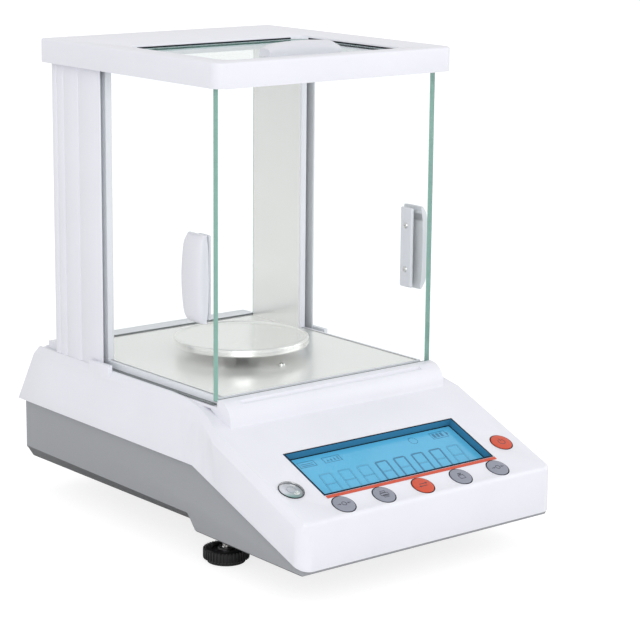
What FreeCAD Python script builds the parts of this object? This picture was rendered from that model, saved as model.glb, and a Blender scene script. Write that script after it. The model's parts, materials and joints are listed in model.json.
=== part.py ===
import FreeCAD, Part
import os
import re
import Sketcher

# Analytical balance with a sliding-door draft shield, in millimetres.
# +Z is up, the keys face -Y, +X is to the right of someone facing the keys,
# and the origin is on the table under the middle of the object.

SIZES = {
    # housing: side view
    "casing_rear": 172, "casing_front": 172, "rear_lean": 10,
    "parting_height": 69.5, "parting_front": 25.59, "bend_y": -52,
    "shoulder_height": 104.5, "deck_edge_height": 109.5, "deck_height": 113.8,
    "swoop_start": -10, "panel_top_y": -77, "panel_top_height": 96.3, "panel_slope": 22.2,
    # housing: half widths and walls
    "rear_half": 109, "front_half": 112, "shoulder_half": 101, "deck_edge_half": 97,
    "panel_half": 108, "bevel_drop": 6, "deck_half": 95.5, "deck_rear": 157,
    "deck_front": -75, "nose_radius": 14, "wall": 3, "corner_radius": 9, "front_radius": 3.5,
    # lower tray
    "tray_inset": 2.5, "tray_rear_inset": 4.5, "tray_radius": 3, "tray_front_inset": 4, "tray_bottom": 26.5,
    "tray_nose_bottom": 22.4, "step_y": -43, "tray_chamfer": 7,
    # draft shield
    "shield_top": 340, "cap_height": 17, "cap_half": 103, "cap_front": 71, "cap_rear": 142,
    "cap_radius": 9, "cap_rear_radius": 2, "cap_lip": 2.5, "lid_half": 89, "lid_glass": 3.4, "lid_rear": 66,
    "opening_left": -86.5, "opening_right": 68, "opening_front": -57, "opening_rear": 58,
    "opening_radius": 9,
    "top_round": 1.5, "seat_width": 5, "slot_gap": 0.3, "slot_depth": 6,
    "glass_front": 59.8, "front_glass": 5, "door_glass": 4, "door_outer": 95.2,
    "door_rear": 137, "door_groove": 4.8, "rear_glass": 3,
    "guide_front": 63, "guide_length": 25, "guide_width": 3.5, "guide_gap": 0.2,
    "pillar_gap": 0.7, "pillar_width": 5, "pillar_front": 78, "pillar_rear": 137,
    "cover_gap": 0.5, "cover_thick": 1.3, "rib_depth": 0.5, "rib_width": 1.6, "lining": 0.8,
    # door handles
    "grip_y": -38.5, "grip_width": 23, "grip_bottom": 164, "grip_length": 60, "grip_depth": 9,
    "plate_width": 12, "plate_length": 58, "plate_thick": 2.5, "door_screw_pitch": 32,
    "lid_grip_x": -2.5, "lid_grip_y": -30, "lid_grip_length": 62, "lid_grip_width": 14,
    "lid_grip_height": 9.5,
    # weighing system
    "pan_y": 39, "pan_radius": 49, "pan_top": 127.4, "pan_thick": 6, "pan_wall": 1.5,
    "stem_radius": 4.3, "stem_clearance": 0.08, "socket_top": 108, "socket_depth": 12,
    "socket_radius": 8, "floor_half": 88, "floor_front": 54, "floor_thick": 1.2,
    "floor_hole": 11, "floor_screw_y": -8,
    "cell_length": 120, "cell_width": 26, "cell_height": 24, "cell_bottom": 52,
    "main_y": -8, "main_half": 62, "main_depth": 28,
    "cell_overhang": 15, "base_top": 39, "base_thick": 6, "base_half": 50, "base_length": 104,
    # control panel, measured down the slope from its top line
    "window_centre": -1.5, "window_half": 75.5, "window_top": 32.5, "window_gap": 0.4,
    "bezel_gap": 0.2, "bezel_rim": 1.4, "bezel_proud": 0.3, "screen_depth": 5, "screen_thick": 2.4,
    "strip_height": 2.6, "strip_gap": 0.6, "strip_thick": 0.5,
    "key_radius": 7.8, "key_gap": 0.35, "key_pitch": 34.2, "key_centre": -1, "key_round": 0.7,
    "key_proud": 0.8, "key_travel": 1, "key_flange": 1.2, "key_reach": 0.7, "flange_gap": 0.1,
    "key_margin": 0.4, "switch_half": 3, "switch_gap": 0.4,
    "power_x": 91.6, "side_row": 68, "level_x": -95.5, "level_radius": 8.3, "level_depth": 7,
    "level_rim": 0.7, "level_wall": 1.2, "level_proud": 0.6,
    "board_depth": 11.5, "board_half": 97, "board_thick": 1.6, "board_margin": 6,
    # feet
    "foot_x": 88, "foot_y": -60, "knob_radius": 16, "knob_height": 8, "knob_teeth": 24,
    "knurl_depth": 0.9, "pad_radius": 13, "pad_thick": 2, "stud_radius": 3, "stud_top": 39,
    "foot_boss": 7, "stud_clearance": 0.06,
    "rear_foot_y": 132, "rear_foot_radius": 12, "rear_post_bottom": 9,
    # fixings and sockets
    "boss_x": 88, "boss_front": -18, "boss_rear": 128, "boss_radius": 5, "boss_split": 46,
    "screw_radius": 1.9, "screw_head": 3.8, "screw_seat": 33, "screw_gap": 0.3, "head_thick": 3,
    "jack_x": -60, "jack_radius": 5.5, "jack_bore": 3.2, "jack_pin": 1, "jack_depth": 14,
    "port_x": 35, "port_half": 12, "port_shell": 8.5, "socket_height": 48, "socket_gap": 0.2,
}
# sizes that follow from the ones above
DERIVED = {
    "tray_rear": "casing_rear - tray_rear_inset",
    "tray_front": "casing_front - tray_front_inset",
    "door_inner": "door_outer - door_glass",
    "pillar_outer": "door_inner - pillar_gap",
    "key_seat": "wall + flange_gap",
    "key_row": "(casing_front + panel_top_y - wall + key_seat * sin(panel_slope) - key_margin)"
               " / cos(panel_slope) - key_radius - key_reach",
    "window_bottom": "key_row - key_radius - key_gap * 2 - strip_height - strip_gap",
}

doc = FreeCAD.newDocument("analytical_balance")
sheet = doc.addObject("Spreadsheet::Sheet", "dims")
for row, (alias, size) in enumerate({**SIZES, **DERIVED}.items(), start=1):
    sheet.set(f"A{row}", alias)
    sheet.set(f"B{row}", f"={size}")
    sheet.setAlias(f"B{row}", alias)
doc.recompute()


def formula(text):
    """Point each size name in an expression at its cell in the sheet."""
    known = SIZES.keys() | DERIVED.keys()
    return re.sub(r"[a-z_]+", lambda m: f"dims.{m[0]}" if m[0] in known else m[0], str(text))


def number(text):
    return float(sheet.evalExpression(formula(text).replace("dims.", "")))


# ---------------------------------------------------------------- feature helpers

def new_body(label, x="0", y="0", z="0", tilt="0", turn="0"):
    """A body at (x, y, z), tilted about X by `tilt` after a turn about Z."""
    body = doc.addObject("PartDesign::Body", label)
    body.Label = label
    spin = f"rotation(vector(1; 0; 0); {formula(tilt)}) * rotation(vector(0; 0; 1); {formula(turn)})"
    place = f"placement(vector({formula(x)}; {formula(y)}; {formula(z)}); {spin})"
    body.setExpression("Placement", place)
    return body


def new_sketch(body, plane, height="0"):
    """An empty sketch on one of the body's origin planes, raised along the plane's normal."""
    sketch = body.newObject("Sketcher::SketchObject", f"{body.Label}_sketch")
    role = next(item for item in body.Origin.OriginFeatures if item.Role == f"{plane}_Plane")
    sketch.AttachmentSupport = [(role, "")]
    sketch.MapMode = "FlatFace"
    sketch.setExpression("AttachmentOffset.Base.z", formula(height))
    return sketch


def bind(sketch, kind, where, text):
    index = sketch.addConstraint(Sketcher.Constraint(kind, *where, number(text)))
    sketch.setExpression(f"Constraints[{index}]", formula(text))


def outline(sketch, corners):
    """A closed run of straight lines through corners given as pairs of expressions."""
    points = [FreeCAD.Vector(number(u), number(v), 0) for u, v in corners]
    first = sketch.GeometryCount
    count = len(points)
    for index, start in enumerate(points):
        sketch.addGeometry(Part.LineSegment(start, points[(index + 1) % count]), False)
    for index in range(count):
        after = first + (index + 1) % count
        sketch.addConstraint(Sketcher.Constraint("Coincident", first + index, 2, after, 1))
    for index, (u, v) in enumerate(corners):
        bind(sketch, "DistanceX", (-1, 1, first + index, 1), u)
        bind(sketch, "DistanceY", (-1, 1, first + index, 1), v)


def rectangle(sketch, left, low, right, high):
    outline(sketch, [(left, low), (right, low), (right, high), (left, high)])


def circle(sketch, u, v, radius):
    centre = FreeCAD.Vector(number(u), number(v), 0)
    item = sketch.addGeometry(Part.Circle(centre, FreeCAD.Vector(0, 0, 1), number(radius)), False)
    bind(sketch, "DistanceX", (-1, 1, item, 3), u)
    bind(sketch, "DistanceY", (-1, 1, item, 3), v)
    bind(sketch, "Radius", (item,), radius)


def add(body, sketch, length):
    """Grow material from the sketch along its plane's normal."""
    feature = body.newObject("PartDesign::Pad", f"{body.Label}_pad")
    feature.Profile = sketch
    feature.setExpression("Length", formula(length))
    doc.recompute()
    return feature


def cut(body, sketch, length):
    """Remove material from the sketch along its plane's normal."""
    before = body.Shape.Volume
    feature = body.newObject("PartDesign::Pocket", f"{body.Label}_pocket")
    feature.Profile = sketch
    feature.Reversed = True
    feature.setExpression("Length", formula(length))
    doc.recompute()
    if not body.Shape.Volume < before - 1e-6:
        raise RuntimeError(f"{body.Label}: a pocket removes nothing")
    return feature


def revolve(body, corners):
    """Turn a profile of (radius, height) corners about the body's Z axis."""
    sketch = new_sketch(body, "XZ")
    outline(sketch, corners)
    feature = body.newObject("PartDesign::Revolution", f"{body.Label}_turned")
    feature.Profile = sketch
    feature.ReferenceAxis = (sketch, ["V_Axis"])
    feature.Angle = 360
    doc.recompute()
    return feature


def add_block(body, left, right, front, back, low, high):
    sketch = new_sketch(body, "XY", low)
    rectangle(sketch, left, front, right, back)
    return add(body, sketch, f"({high}) - ({low})")


def cut_block(body, left, right, front, back, low, high):
    sketch = new_sketch(body, "XY", low)
    rectangle(sketch, left, front, right, back)
    return cut(body, sketch, f"({high}) - ({low})")


def rounds(body, places, radius, low, high, feature=add):
    """Add or cut upright cylinders of one radius at the (x, y) places."""
    sketch = new_sketch(body, "XY", low)
    for x, y in places:
        circle(sketch, x, y, radius)
    return feature(body, sketch, f"({high}) - ({low})")


def dress(body, kind, size, test):
    """Fillet or chamfer the edges of the body's tip that pass the test."""
    base = body.Tip
    names = [f"Edge{i}" for i, edge in enumerate(base.Shape.Edges, start=1) if test(edge)]
    feature = body.newObject(f"PartDesign::{kind}", f"{body.Label}_{kind.lower()}")
    feature.Base = (base, names)
    feature.setExpression("Radius" if kind == "Fillet" else "Size", formula(size))
    doc.recompute()
    return feature


def upright(edge):
    box = edge.BoundBox
    return box.ZLength > 5 * max(box.XLength, box.YLength, 1e-3)


def level_at(edge, height):
    box = edge.BoundBox
    return abs(box.ZMin - height) < 1e-3 and abs(box.ZMax - height) < 1e-3


# ---------------------------------------------------------------- housing shape

def fall(y):
    """How far the housing's edge has swept from the deck to the panel at y, 0 to 1."""
    return f"pow(min(1; max(0; (swoop_start - ({y})) / (swoop_start - panel_top_y))); 2.2)"


def parting(y):
    drop = "(parting_height - parting_front) / (casing_front + bend_y)"
    return f"(parting_height - max(0; bend_y - ({y})) * {drop})"


def panel(y):
    return f"(panel_top_height - max(0; panel_top_y - ({y})) * tan(panel_slope))"


def low_half(y):
    return f"(rear_half + (front_half - rear_half) * (casing_rear - ({y})) / (casing_rear + casing_front))"


def blend(start, end, y):
    return f"(({start}) + (({end}) - ({start})) * {fall(y)})"


def mirrored(corners):
    """Close a half section, given from the bottom up, with its mirror image."""
    return list(corners) + [(f"-({u})", v) for u, v in reversed(corners)]


def loft(body, kind, stations, section):
    """A ruled loft through sections across the length of the housing."""
    sketches = []
    for y in stations:
        sketch = new_sketch(body, "XZ", f"-({y})")
        outline(sketch, mirrored(section(y)))
        sketches.append(sketch)
    feature = body.newObject(f"PartDesign::{kind}Loft", f"{body.Label}_loft")
    feature.Profile = sketches[0]
    feature.Sections = sketches[1:]
    feature.Ruled = True
    doc.recompute()
    return feature


SWEEP = ["swoop_start", "swoop_start + 0.4 * (bend_y - swoop_start)",
         "swoop_start + 0.75 * (bend_y - swoop_start)", "bend_y",
         "bend_y + 0.5 * (panel_top_y - bend_y)", "panel_top_y"]
BOSSES = [(f"{side} * boss_x", row) for side in (-1, 1) for row in ("boss_front", "boss_rear")]
KEYS = {"key_tare_left": -2, "key_print": -1, "key_unit": 0, "key_cal": 1, "key_tare_right": 2}
KEY_PLACES = {name: (f"key_centre + ({step}) * key_pitch", "-key_row")
              for name, step in KEYS.items()}
KEY_PLACES["key_power"] = ("power_x", "-side_row")


def panel_body(label, x="0", down="0"):
    """A body whose XY plane is the control panel, with Y pointing up the slope."""
    return new_body(label, x, f"panel_top_y + ({down}) * cos(panel_slope)",
                    f"panel_top_height + ({down}) * sin(panel_slope)", "panel_slope")


def outer_section(y):
    return [(low_half(y), parting(y)),
            (blend("shoulder_half", "front_half", y),
             blend("shoulder_height", f"{panel(y)} - bevel_drop", y)),
            (blend("deck_edge_half", "panel_half", y), blend("deck_edge_height", panel(y), y))]


def inner_section(y):
    corners = outer_section(y)
    lowered = [(f"{u} - wall", f"{v} - wall") for u, v in corners]
    lowered[0] = (f"{corners[0][0]} - wall", f"{corners[0][1]} - 1")
    return lowered


def panel_cut(body, shape, depth="wall * 3"):
    """Cut straight into the control panel; `shape` draws in panel coordinates."""
    sketch = new_sketch(body, "XY")
    sketch.AttachmentSupport = None
    sketch.MapMode = "Deactivated"
    place = (f"placement(vector(0; {formula('panel_top_y')}; {formula('panel_top_height')}); "
             f"rotation(vector(1; 0; 0); {formula('panel_slope')}))")
    sketch.setExpression("AttachmentOffset.Base.z", None)
    sketch.setExpression("Placement", place)
    shape(sketch)
    before = body.Shape.Volume
    feature = body.newObject("PartDesign::Pocket", f"{body.Label}_panel_pocket")
    feature.Profile = sketch
    feature.setExpression("Length", formula(depth))
    doc.recompute()
    if not body.Shape.Volume < before - 1e-6:
        raise RuntimeError(f"{body.Label}: a panel pocket removes nothing")


def window(sketch, inset):
    """The display window's outline in panel coordinates, drawn in by `inset`."""
    rectangle(sketch, f"window_centre - window_half + {inset}", f"-window_bottom + {inset}",
              f"window_centre + window_half - {inset}", f"-window_top - {inset}")


def upper_casing():
    body = new_body("upper_casing")
    loft(body, "Additive", ["casing_rear"] + SWEEP + ["-casing_front"], outer_section)
    wedge = new_sketch(body, "YZ", "-front_half - 1")
    outline(wedge, [("casing_rear", "parting_height"), ("casing_rear + 5", "parting_height"),
                    ("casing_rear + 5", "deck_height"),
                    ("casing_rear - rear_lean * (deck_height - parting_height)"
                     " / (shoulder_height - parting_height)", "deck_height")])
    cut(body, wedge, "2 * front_half + 2")
    dress(body, "Fillet", "corner_radius", lambda edge: upright(edge) and (
        edge.BoundBox.YMin > number("casing_rear - rear_lean - 1")
        or edge.BoundBox.YMax < number("1 - casing_front")))
    dress(body, "Fillet", "front_radius", lambda edge: (
        edge.BoundBox.YMax < number("1 - casing_front") and edge.BoundBox.ZLength < 0.1
        and edge.BoundBox.ZMin > number(parting("-casing_front")) + 5))
    loft(body, "Subtractive", ["casing_rear - rear_lean - wall"] + SWEEP
         + ["wall - casing_front"], inner_section)
    nose = new_sketch(body, "YZ", "-deck_half")
    outline(nose, [("deck_front", "panel_top_height - wall"), ("deck_front", "deck_height"),
                   ("deck_rear", "deck_height"), ("deck_rear", "deck_edge_height - wall"),
                   ("bend_y", "deck_edge_height - wall")])
    add(body, nose, "2 * deck_half")
    dress(body, "Fillet", "nose_radius", lambda edge: (
        level_at(edge, number("deck_height")) and edge.BoundBox.YMax < number("deck_front") + 1))
    # grooves for the sliding doors, the front glass and the finger strip
    for side in (-1, 1):
        edges = sorted((f"{side} * (door_outer + slot_gap)",
                        f"{side} * (door_inner - slot_gap)"), key=number)
        cut_block(body, *edges, "-glass_front", "casing_rear",
                  "deck_height - door_groove - slot_gap", "deck_height + 1")
    cut_block(body, "-deck_half - 3", "deck_half + 3", "-glass_front - slot_gap",
              "-glass_front + front_glass + slot_gap", "deck_height - 2", "deck_height + 1")
    cut_block(body, "-deck_half + 14", "deck_half - 16", "deck_front + 5", "deck_front + 9",
              "deck_height - 3", "deck_height + 1")
    cut_block(body, "-floor_half", "floor_half", "-floor_front", "pillar_rear",
              "deck_height - floor_thick", "deck_height + 1")
    rounds(body, [("0", "pan_y")], "floor_hole", "deck_edge_height - 2 * wall",
           "deck_height", cut)
    # guides that stop the doors from tipping outwards
    for side in (-1, 1):
        edges = sorted((f"{side} * (deck_edge_half + guide_gap)",
                        f"{side} * (deck_edge_half + guide_gap + guide_width)"), key=number)
        add_block(body, *edges, "guide_front", "guide_front + guide_length",
                  "shoulder_height - wall", "deck_height")
    rounds(body, BOSSES, "boss_radius", "boss_split", "deck_edge_height - wall / 2")
    rounds(body, BOSSES, "screw_radius + 0.1", "boss_split", "boss_split + 16", cut)
    panel_cut(body, lambda sketch: window(sketch, "0"))
    for x, down in KEY_PLACES.values():
        panel_cut(body, lambda sketch: circle(sketch, x, down, "key_radius + key_gap"))
    panel_cut(body, lambda sketch: circle(sketch, "level_x", "-side_row", "level_radius + 0.1"))
    return body


def tray_section(y, rise="0", inset="0", lift="0"):
    bottom = f"(max(tray_nose_bottom; min(tray_bottom; tray_nose_bottom + (({y}) - bend_y)" \
             " / (step_y - bend_y) * (tray_bottom - tray_nose_bottom))))"
    chamfer = f"(1 + (tray_chamfer - 1) * max(0; min(1; (({y}) - bend_y) / (step_y - bend_y))))"
    half = f"({low_half(y)} - tray_inset - {inset})"
    return [(f"{half} - {chamfer}", f"{bottom} + {lift}"), (half, f"{bottom} + {chamfer} + {lift}"),
            (half, f"{parting(y)} + {rise}")]


def lower_tray():
    body = new_body("lower_tray")
    loft(body, "Additive", ["tray_rear", "step_y", "bend_y", "-tray_front"], tray_section)
    dress(body, "Fillet", "tray_radius", lambda edge: (
        upright(edge) and edge.BoundBox.YMin > number("tray_rear") - 1))
    loft(body, "Subtractive", ["tray_rear - wall", "step_y", "bend_y", "wall - tray_front"],
         lambda y: tray_section(y, "1", "wall", "wall"))
    rounds(body, BOSSES, "boss_radius", "tray_bottom + 0.5", "boss_split")
    rounds(body, BOSSES, "screw_head + screw_gap", "tray_bottom - 1", "screw_seat", cut)
    rounds(body, BOSSES, "screw_radius + screw_gap", "tray_bottom - 1", "boss_split", cut)
    feet = [(f"{side} * foot_x", "foot_y") for side in (-1, 1)]
    rounds(body, feet, "foot_boss", "tray_nose_bottom + 0.5", "stud_top + 5 + wall")
    rounds(body, feet, "stud_radius + stud_clearance", "tray_nose_bottom - 1", "stud_top + 5", cut)
    rounds(body, [("0", "rear_foot_y")], "rear_foot_radius", "rear_post_bottom", "tray_bottom + 0.5")
    pads = [(f"{side} * base_half * 0.8", row) for side in (-1, 1)
            for row in ("deck_rear - 20", "deck_rear + 10 - base_length")]
    rounds(body, pads, "boss_radius", "tray_bottom + wall / 2", "base_top - base_thick")
    pocket = new_sketch(body, "XZ", "-tray_rear - 1")
    circle(pocket, "jack_x", "socket_height", "jack_radius + socket_gap")
    rectangle(pocket, "port_x - port_half", "socket_height - port_half / 2",
              "port_x + port_half", "socket_height + port_half / 2")
    cut(body, pocket, "wall + 2")
    return body


# ---------------------------------------------------------------- draft shield

def chamber_floor():
    body = new_body("chamber_floor")
    add_block(body, "-floor_half", "floor_half", "-floor_front", "pillar_rear",
              "deck_height - floor_thick", "deck_height")
    rounds(body, [("0", "pan_y")], "floor_hole", "deck_height - floor_thick", "deck_height", cut)
    return body


def floor_screw():
    body = new_body("floor_screw", "0", "floor_screw_y", "deck_height")
    revolve(body, [("0", "0"), ("2.6", "0"), ("2.6", "0.8"), ("1.6", "1.7"), ("0", "1.9")])
    return body


def cap_frame():
    body = new_body("cap_frame")
    add_block(body, "-cap_half", "cap_half", "-cap_front", "cap_rear",
              "shield_top - cap_height", "shield_top")
    dress(body, "Fillet", "cap_radius", lambda edge: upright(edge) and edge.BoundBox.YMax < 0)
    dress(body, "Fillet", "cap_rear_radius", lambda edge: upright(edge) and edge.BoundBox.YMin > 0)
    dress(body, "Fillet", "top_round", lambda edge: level_at(edge, number("shield_top")))
    slot_low = "shield_top - cap_lip - lid_glass - 2 * slot_gap"
    opening = new_sketch(body, "XY", "shield_top - cap_lip - 1")
    rectangle(opening, "opening_left", "opening_front", "opening_right", "opening_rear")
    cut(body, opening, "cap_lip + 2")
    dress(body, "Fillet", "opening_radius", lambda edge: (
        upright(edge) and edge.BoundBox.ZMax > number("shield_top - 2")
        and number("opening_left") - 1 < edge.BoundBox.XMax < number("opening_right") + 1
        and number("opening_front") - 1 < edge.BoundBox.YMax < number("opening_rear") + 1))
    cut_block(body, "-lid_half - slot_gap", "lid_half + slot_gap", "opening_front - 4",
              "cap_rear - 3", slot_low, "shield_top - cap_lip")
    cut_block(body, "-lid_half + seat_width", "lid_half - seat_width", "-glass_front + front_glass + 5",
              "pillar_rear - 8", "shield_top - cap_height", slot_low)
    for side in (-1, 1):
        edges = sorted((f"{side} * (door_outer + slot_gap)",
                        f"{side} * (door_inner - slot_gap)"), key=number)
        cut_block(body, *edges, "-glass_front", "cap_rear + 1",
                  "shield_top - cap_height", "shield_top - cap_height + slot_depth + slot_gap")
    cut_block(body, "-door_outer - slot_gap", "door_outer + slot_gap", "-glass_front - 0.2",
              "-glass_front + front_glass + 0.2", "shield_top - cap_height",
              "shield_top - cap_height + 5")
    return body


def glass_pane(label, left, right, front, back, low, high):
    body = new_body(label)
    add_block(body, left, right, front, back, low, high)
    return body


def pillar(label, side):
    """The inner post; the door runs between it and the cover."""
    body = new_body(label)
    post = [f"{side} * pillar_outer", f"{side} * (pillar_outer - pillar_width)"]
    left, right = sorted(post, key=number)
    add_block(body, left, right, "pillar_front", "pillar_rear", "deck_height",
              "shield_top - cap_height")
    return body


def pillar_cover(label, side):
    """The outer cover, with shallow upright channels."""
    body = new_body(label)
    inner = "door_outer + cover_gap"
    left, right = sorted((f"{side} * ({inner})", f"{side} * ({inner} + cover_thick)"), key=number)
    add_block(body, left, right, "pillar_front - 2", "pillar_rear", "deck_edge_height",
              "shield_top - cap_height")
    left, right = sorted((f"{side} * ({inner} + cover_thick)",
                          f"{side} * ({inner} + cover_thick - rib_depth)"), key=number)
    for place in ("pillar_front + 24", "pillar_rear - 16", "pillar_rear - 7"):
        cut_block(body, left, right, place, f"{place} + rib_width", "deck_edge_height",
                  "shield_top - cap_height")
    return body


def pillar_lining(label, side):
    inner = f"{side} * (pillar_outer - pillar_width)"
    left, right = sorted((inner, f"{side} * (pillar_outer - pillar_width - lining)"), key=number)
    return glass_pane(label, left, right, "pillar_front + 1", "pillar_rear - 1",
                      "deck_height", "shield_top - cap_height")


# ---------------------------------------------------------------- doors

def door_grip(label, side):
    """The outer handle: a bar with rounded ends, bulged along its length."""
    body = new_body(label)
    foot, crown = "door_outer", "door_outer + grip_depth"
    profile = [(foot, "grip_bottom"), (f"{crown} - 3.5", "grip_bottom + 2"),
               (f"{crown} - 0.8", "grip_bottom + 14"), (crown, "grip_bottom + grip_length / 2"),
               (f"{crown} - 0.8", "grip_bottom + grip_length - 14"),
               (f"{crown} - 3.5", "grip_bottom + grip_length - 2"),
               (foot, "grip_bottom + grip_length")]
    sketch = new_sketch(body, "XZ", "-(grip_y + grip_width / 2)")
    outline(sketch, [(f"{side} * ({u})", v) for u, v in profile])
    add(body, sketch, "grip_width")
    dress(body, "Fillet", "3", lambda edge: (
        edge.BoundBox.YLength < 0.1 and abs(edge.BoundBox.Center.x) > number("door_outer") + 2.5))
    return body


def door_plate(label, side):
    """The clamping plate inside the glass, with its two countersunk screws' seats."""
    body = new_body(label)
    edges = (f"{side} * (door_inner)",
             f"{side} * (door_inner - plate_thick)")
    left, right = sorted(edges, key=number)
    middle = "grip_bottom + grip_length / 2"
    add_block(body, left, right, "grip_y - plate_width / 2", "grip_y + plate_width / 2",
              f"{middle} - plate_length / 2", f"{middle} + plate_length / 2")
    face = number(edges[1])
    dress(body, "Fillet", "1.2", lambda edge: abs(edge.BoundBox.XMax - face) < 1e-3
          and abs(edge.BoundBox.XMin - face) < 1e-3)
    return body


def door_screws(label, side):
    body = new_body(label)
    face = f"{side} * (door_inner - plate_thick)"
    for step in (-1, 1):
        sketch = new_sketch(body, "YZ", face if side < 0 else f"{face} - 0.9")
        circle(sketch, "grip_y", f"grip_bottom + grip_length / 2 + ({step}) * door_screw_pitch / 2",
               "2.2")
        add(body, sketch, "0.9")
    return body


def lid_grip():
    """The curved bar that slides the top glass."""
    body = new_body("lid_grip", "lid_grip_x")
    sketch = new_sketch(body, "XZ", "-(lid_grip_y + lid_grip_width / 2)")
    foot = "shield_top - cap_lip - slot_gap"
    half = "lid_grip_length / 2"
    outline(sketch, [(f"-{half}", foot), (half, foot), (f"{half} - 2", f"{foot} + lid_grip_height * 0.8"),
                     (f"{half} - 8", f"{foot} + lid_grip_height"),
                     (f"8 - {half}", f"{foot} + lid_grip_height"),
                     (f"2 - {half}", f"{foot} + lid_grip_height * 0.8")])
    add(body, sketch, "lid_grip_width")
    dress(body, "Fillet", "3", lambda edge: (
        edge.BoundBox.YLength < 0.1 and edge.BoundBox.ZMax > number(foot) + 5))
    return body


# ---------------------------------------------------------------- weighing system

def weighing_pan():
    body = new_body("weighing_pan", "0", "pan_y")
    under = "pan_top - pan_thick"
    revolve(body, [("0", f"{under} + 1.2"), ("pan_radius - 7", f"{under} + 1.2"),
                   ("pan_radius - 6", under), ("pan_radius - 1.5", under),
                   ("pan_radius", f"{under} + 1.5"), ("pan_radius", "pan_top - 0.8"),
                   ("pan_radius - 0.8", "pan_top"), ("pan_radius - 3", "pan_top"),
                   ("pan_radius - 4.5", "pan_top - 1.3"), ("0", "pan_top - 1.3")])
    return body


def pan_stem():
    body = new_body("pan_stem", "0", "pan_y")
    under = "pan_top - pan_thick + 1.2"
    revolve(body, [("0", "socket_top - socket_depth"), ("stem_radius - 1", "socket_top - socket_depth"),
                   ("stem_radius", "socket_top - socket_depth + 1"), ("stem_radius", f"{under} - 2.5"),
                   ("stem_radius * 3", f"{under} - 1.5"), ("stem_radius * 3", under), ("0", under)])
    return body


def load_receptor():
    body = new_body("load_receptor", "0", "pan_y")
    top = "cell_bottom + cell_height"
    revolve(body, [("0", top), ("cell_width / 2", top), ("cell_width / 2", f"{top} + 4"),
                   ("socket_radius", f"{top} + 7"), ("socket_radius", "socket_top"),
                   ("stem_radius + stem_clearance", "socket_top"),
                   ("stem_radius + stem_clearance", "socket_top - socket_depth"),
                   ("0", "socket_top - socket_depth")])
    return body


def load_cell():
    """Aluminium beam with the paired round reliefs that let its end move straight down."""
    body = new_body("load_cell")
    front = "pan_y - cell_overhang"
    add_block(body, "-cell_width / 2", "cell_width / 2", front, f"{front} + cell_length",
              "cell_bottom", "cell_bottom + cell_height")
    relief = new_sketch(body, "YZ", "-cell_width")
    middle = "cell_bottom + cell_height / 2"
    for step in (-1, 1):
        circle(relief, f"{front} + cell_length / 2 + ({step}) * 16", middle, "cell_height / 2 - 2.5")
    cut(body, relief, "2 * cell_width")
    link = new_sketch(body, "YZ", "-cell_width")
    rectangle(link, f"{front} + cell_length / 2 - 16", f"{middle} - 3",
              f"{front} + cell_length / 2 + 16", f"{middle} + 3")
    cut(body, link, "2 * cell_width")
    return body


def cell_mount():
    body = new_body("cell_mount")
    back = "pan_y - cell_overhang + cell_length"
    add_block(body, "-cell_width / 2", "cell_width / 2", f"{back} - 30", back,
              "base_top", "cell_bottom")
    return body


def cell_base():
    body = new_body("cell_base")
    add_block(body, "-base_half", "base_half", "deck_rear - base_length", "deck_rear - 6",
              "base_top - base_thick", "base_top")
    dress(body, "Fillet", "6", upright)
    return body


def stop_screw():
    """Overload stop under the free end of the beam."""
    body = new_body("stop_screw", "0", "pan_y + 16")
    revolve(body, [("0", "base_top"), ("5", "base_top"), ("5", "base_top + 4"),
                   ("3", "base_top + 4"), ("3", "cell_bottom - 0.7"), ("0", "cell_bottom - 0.7")])
    return body


# ---------------------------------------------------------------- electronics

# converter chip, processor, capacitor, transformer and plug on the main board:
# (x, y from the board's middle, half width, half depth, height)
COMPONENTS = [(-39, -1, 11, 11, 3), (3, -10, 13, 8, 2.5), (37, -14, 7, 8, 12), (0, 18, 20, 6, 8),
              (53, 10, 5, 10, 9)]


def main_board():
    body = new_body("main_board")
    low = "base_top - base_thick"
    top = f"{low} + board_thick"
    add_block(body, "-main_half", "main_half", "main_y - main_depth", "main_y + main_depth", low, top)
    for x, y, half, depth, tall in COMPONENTS:
        add_block(body, f"{x} - {half}", f"{x} + {half}", f"main_y + {y} - {depth}",
                  f"main_y + {y} + {depth}", top, f"{top} + {tall}")
    return body


def board_posts():
    body = new_body("board_posts")
    places = [(f"{side} * (main_half - 6)", f"main_y + ({end}) * (main_depth - 5)")
              for side in (-1, 1) for end in (-1, 1)]
    rounds(body, places, "stud_radius", "tray_bottom + wall", "base_top - base_thick")
    return body


def display_board():
    body = panel_body("display_board")
    sketch = new_sketch(body, "XY", "-board_depth - board_thick")
    rectangle(sketch, "-board_half", "-key_row - board_margin", "board_half",
              "-window_top + board_margin")
    add(body, sketch, "board_thick")
    return body


def key_switches():
    body = panel_body("key_switches")
    for x, down in KEY_PLACES.values():
        sketch = new_sketch(body, "XY", "-board_depth")
        rectangle(sketch, f"{x} - switch_half", f"{down} - switch_half",
                  f"{x} + switch_half", f"{down} + switch_half")
        add(body, sketch, "board_depth - key_seat - key_flange - key_travel - switch_gap")
    return body


def lcd_module():
    body = panel_body("lcd_module")
    sketch = new_sketch(body, "XY", "-board_depth")
    window(sketch, "window_gap")
    add(body, sketch, "board_depth - screen_depth - screen_thick")
    return body


def lcd_screen():
    body = panel_body("lcd_screen")
    sketch = new_sketch(body, "XY", "-screen_depth - screen_thick")
    window(sketch, "window_gap")
    add(body, sketch, "screen_thick")
    return body


def display_bezel():
    body = panel_body("display_bezel")
    sketch = new_sketch(body, "XY", "-screen_depth")
    window(sketch, "bezel_gap")
    window(sketch, "bezel_rim")
    add(body, sketch, "screen_depth + bezel_proud")
    return body


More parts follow.
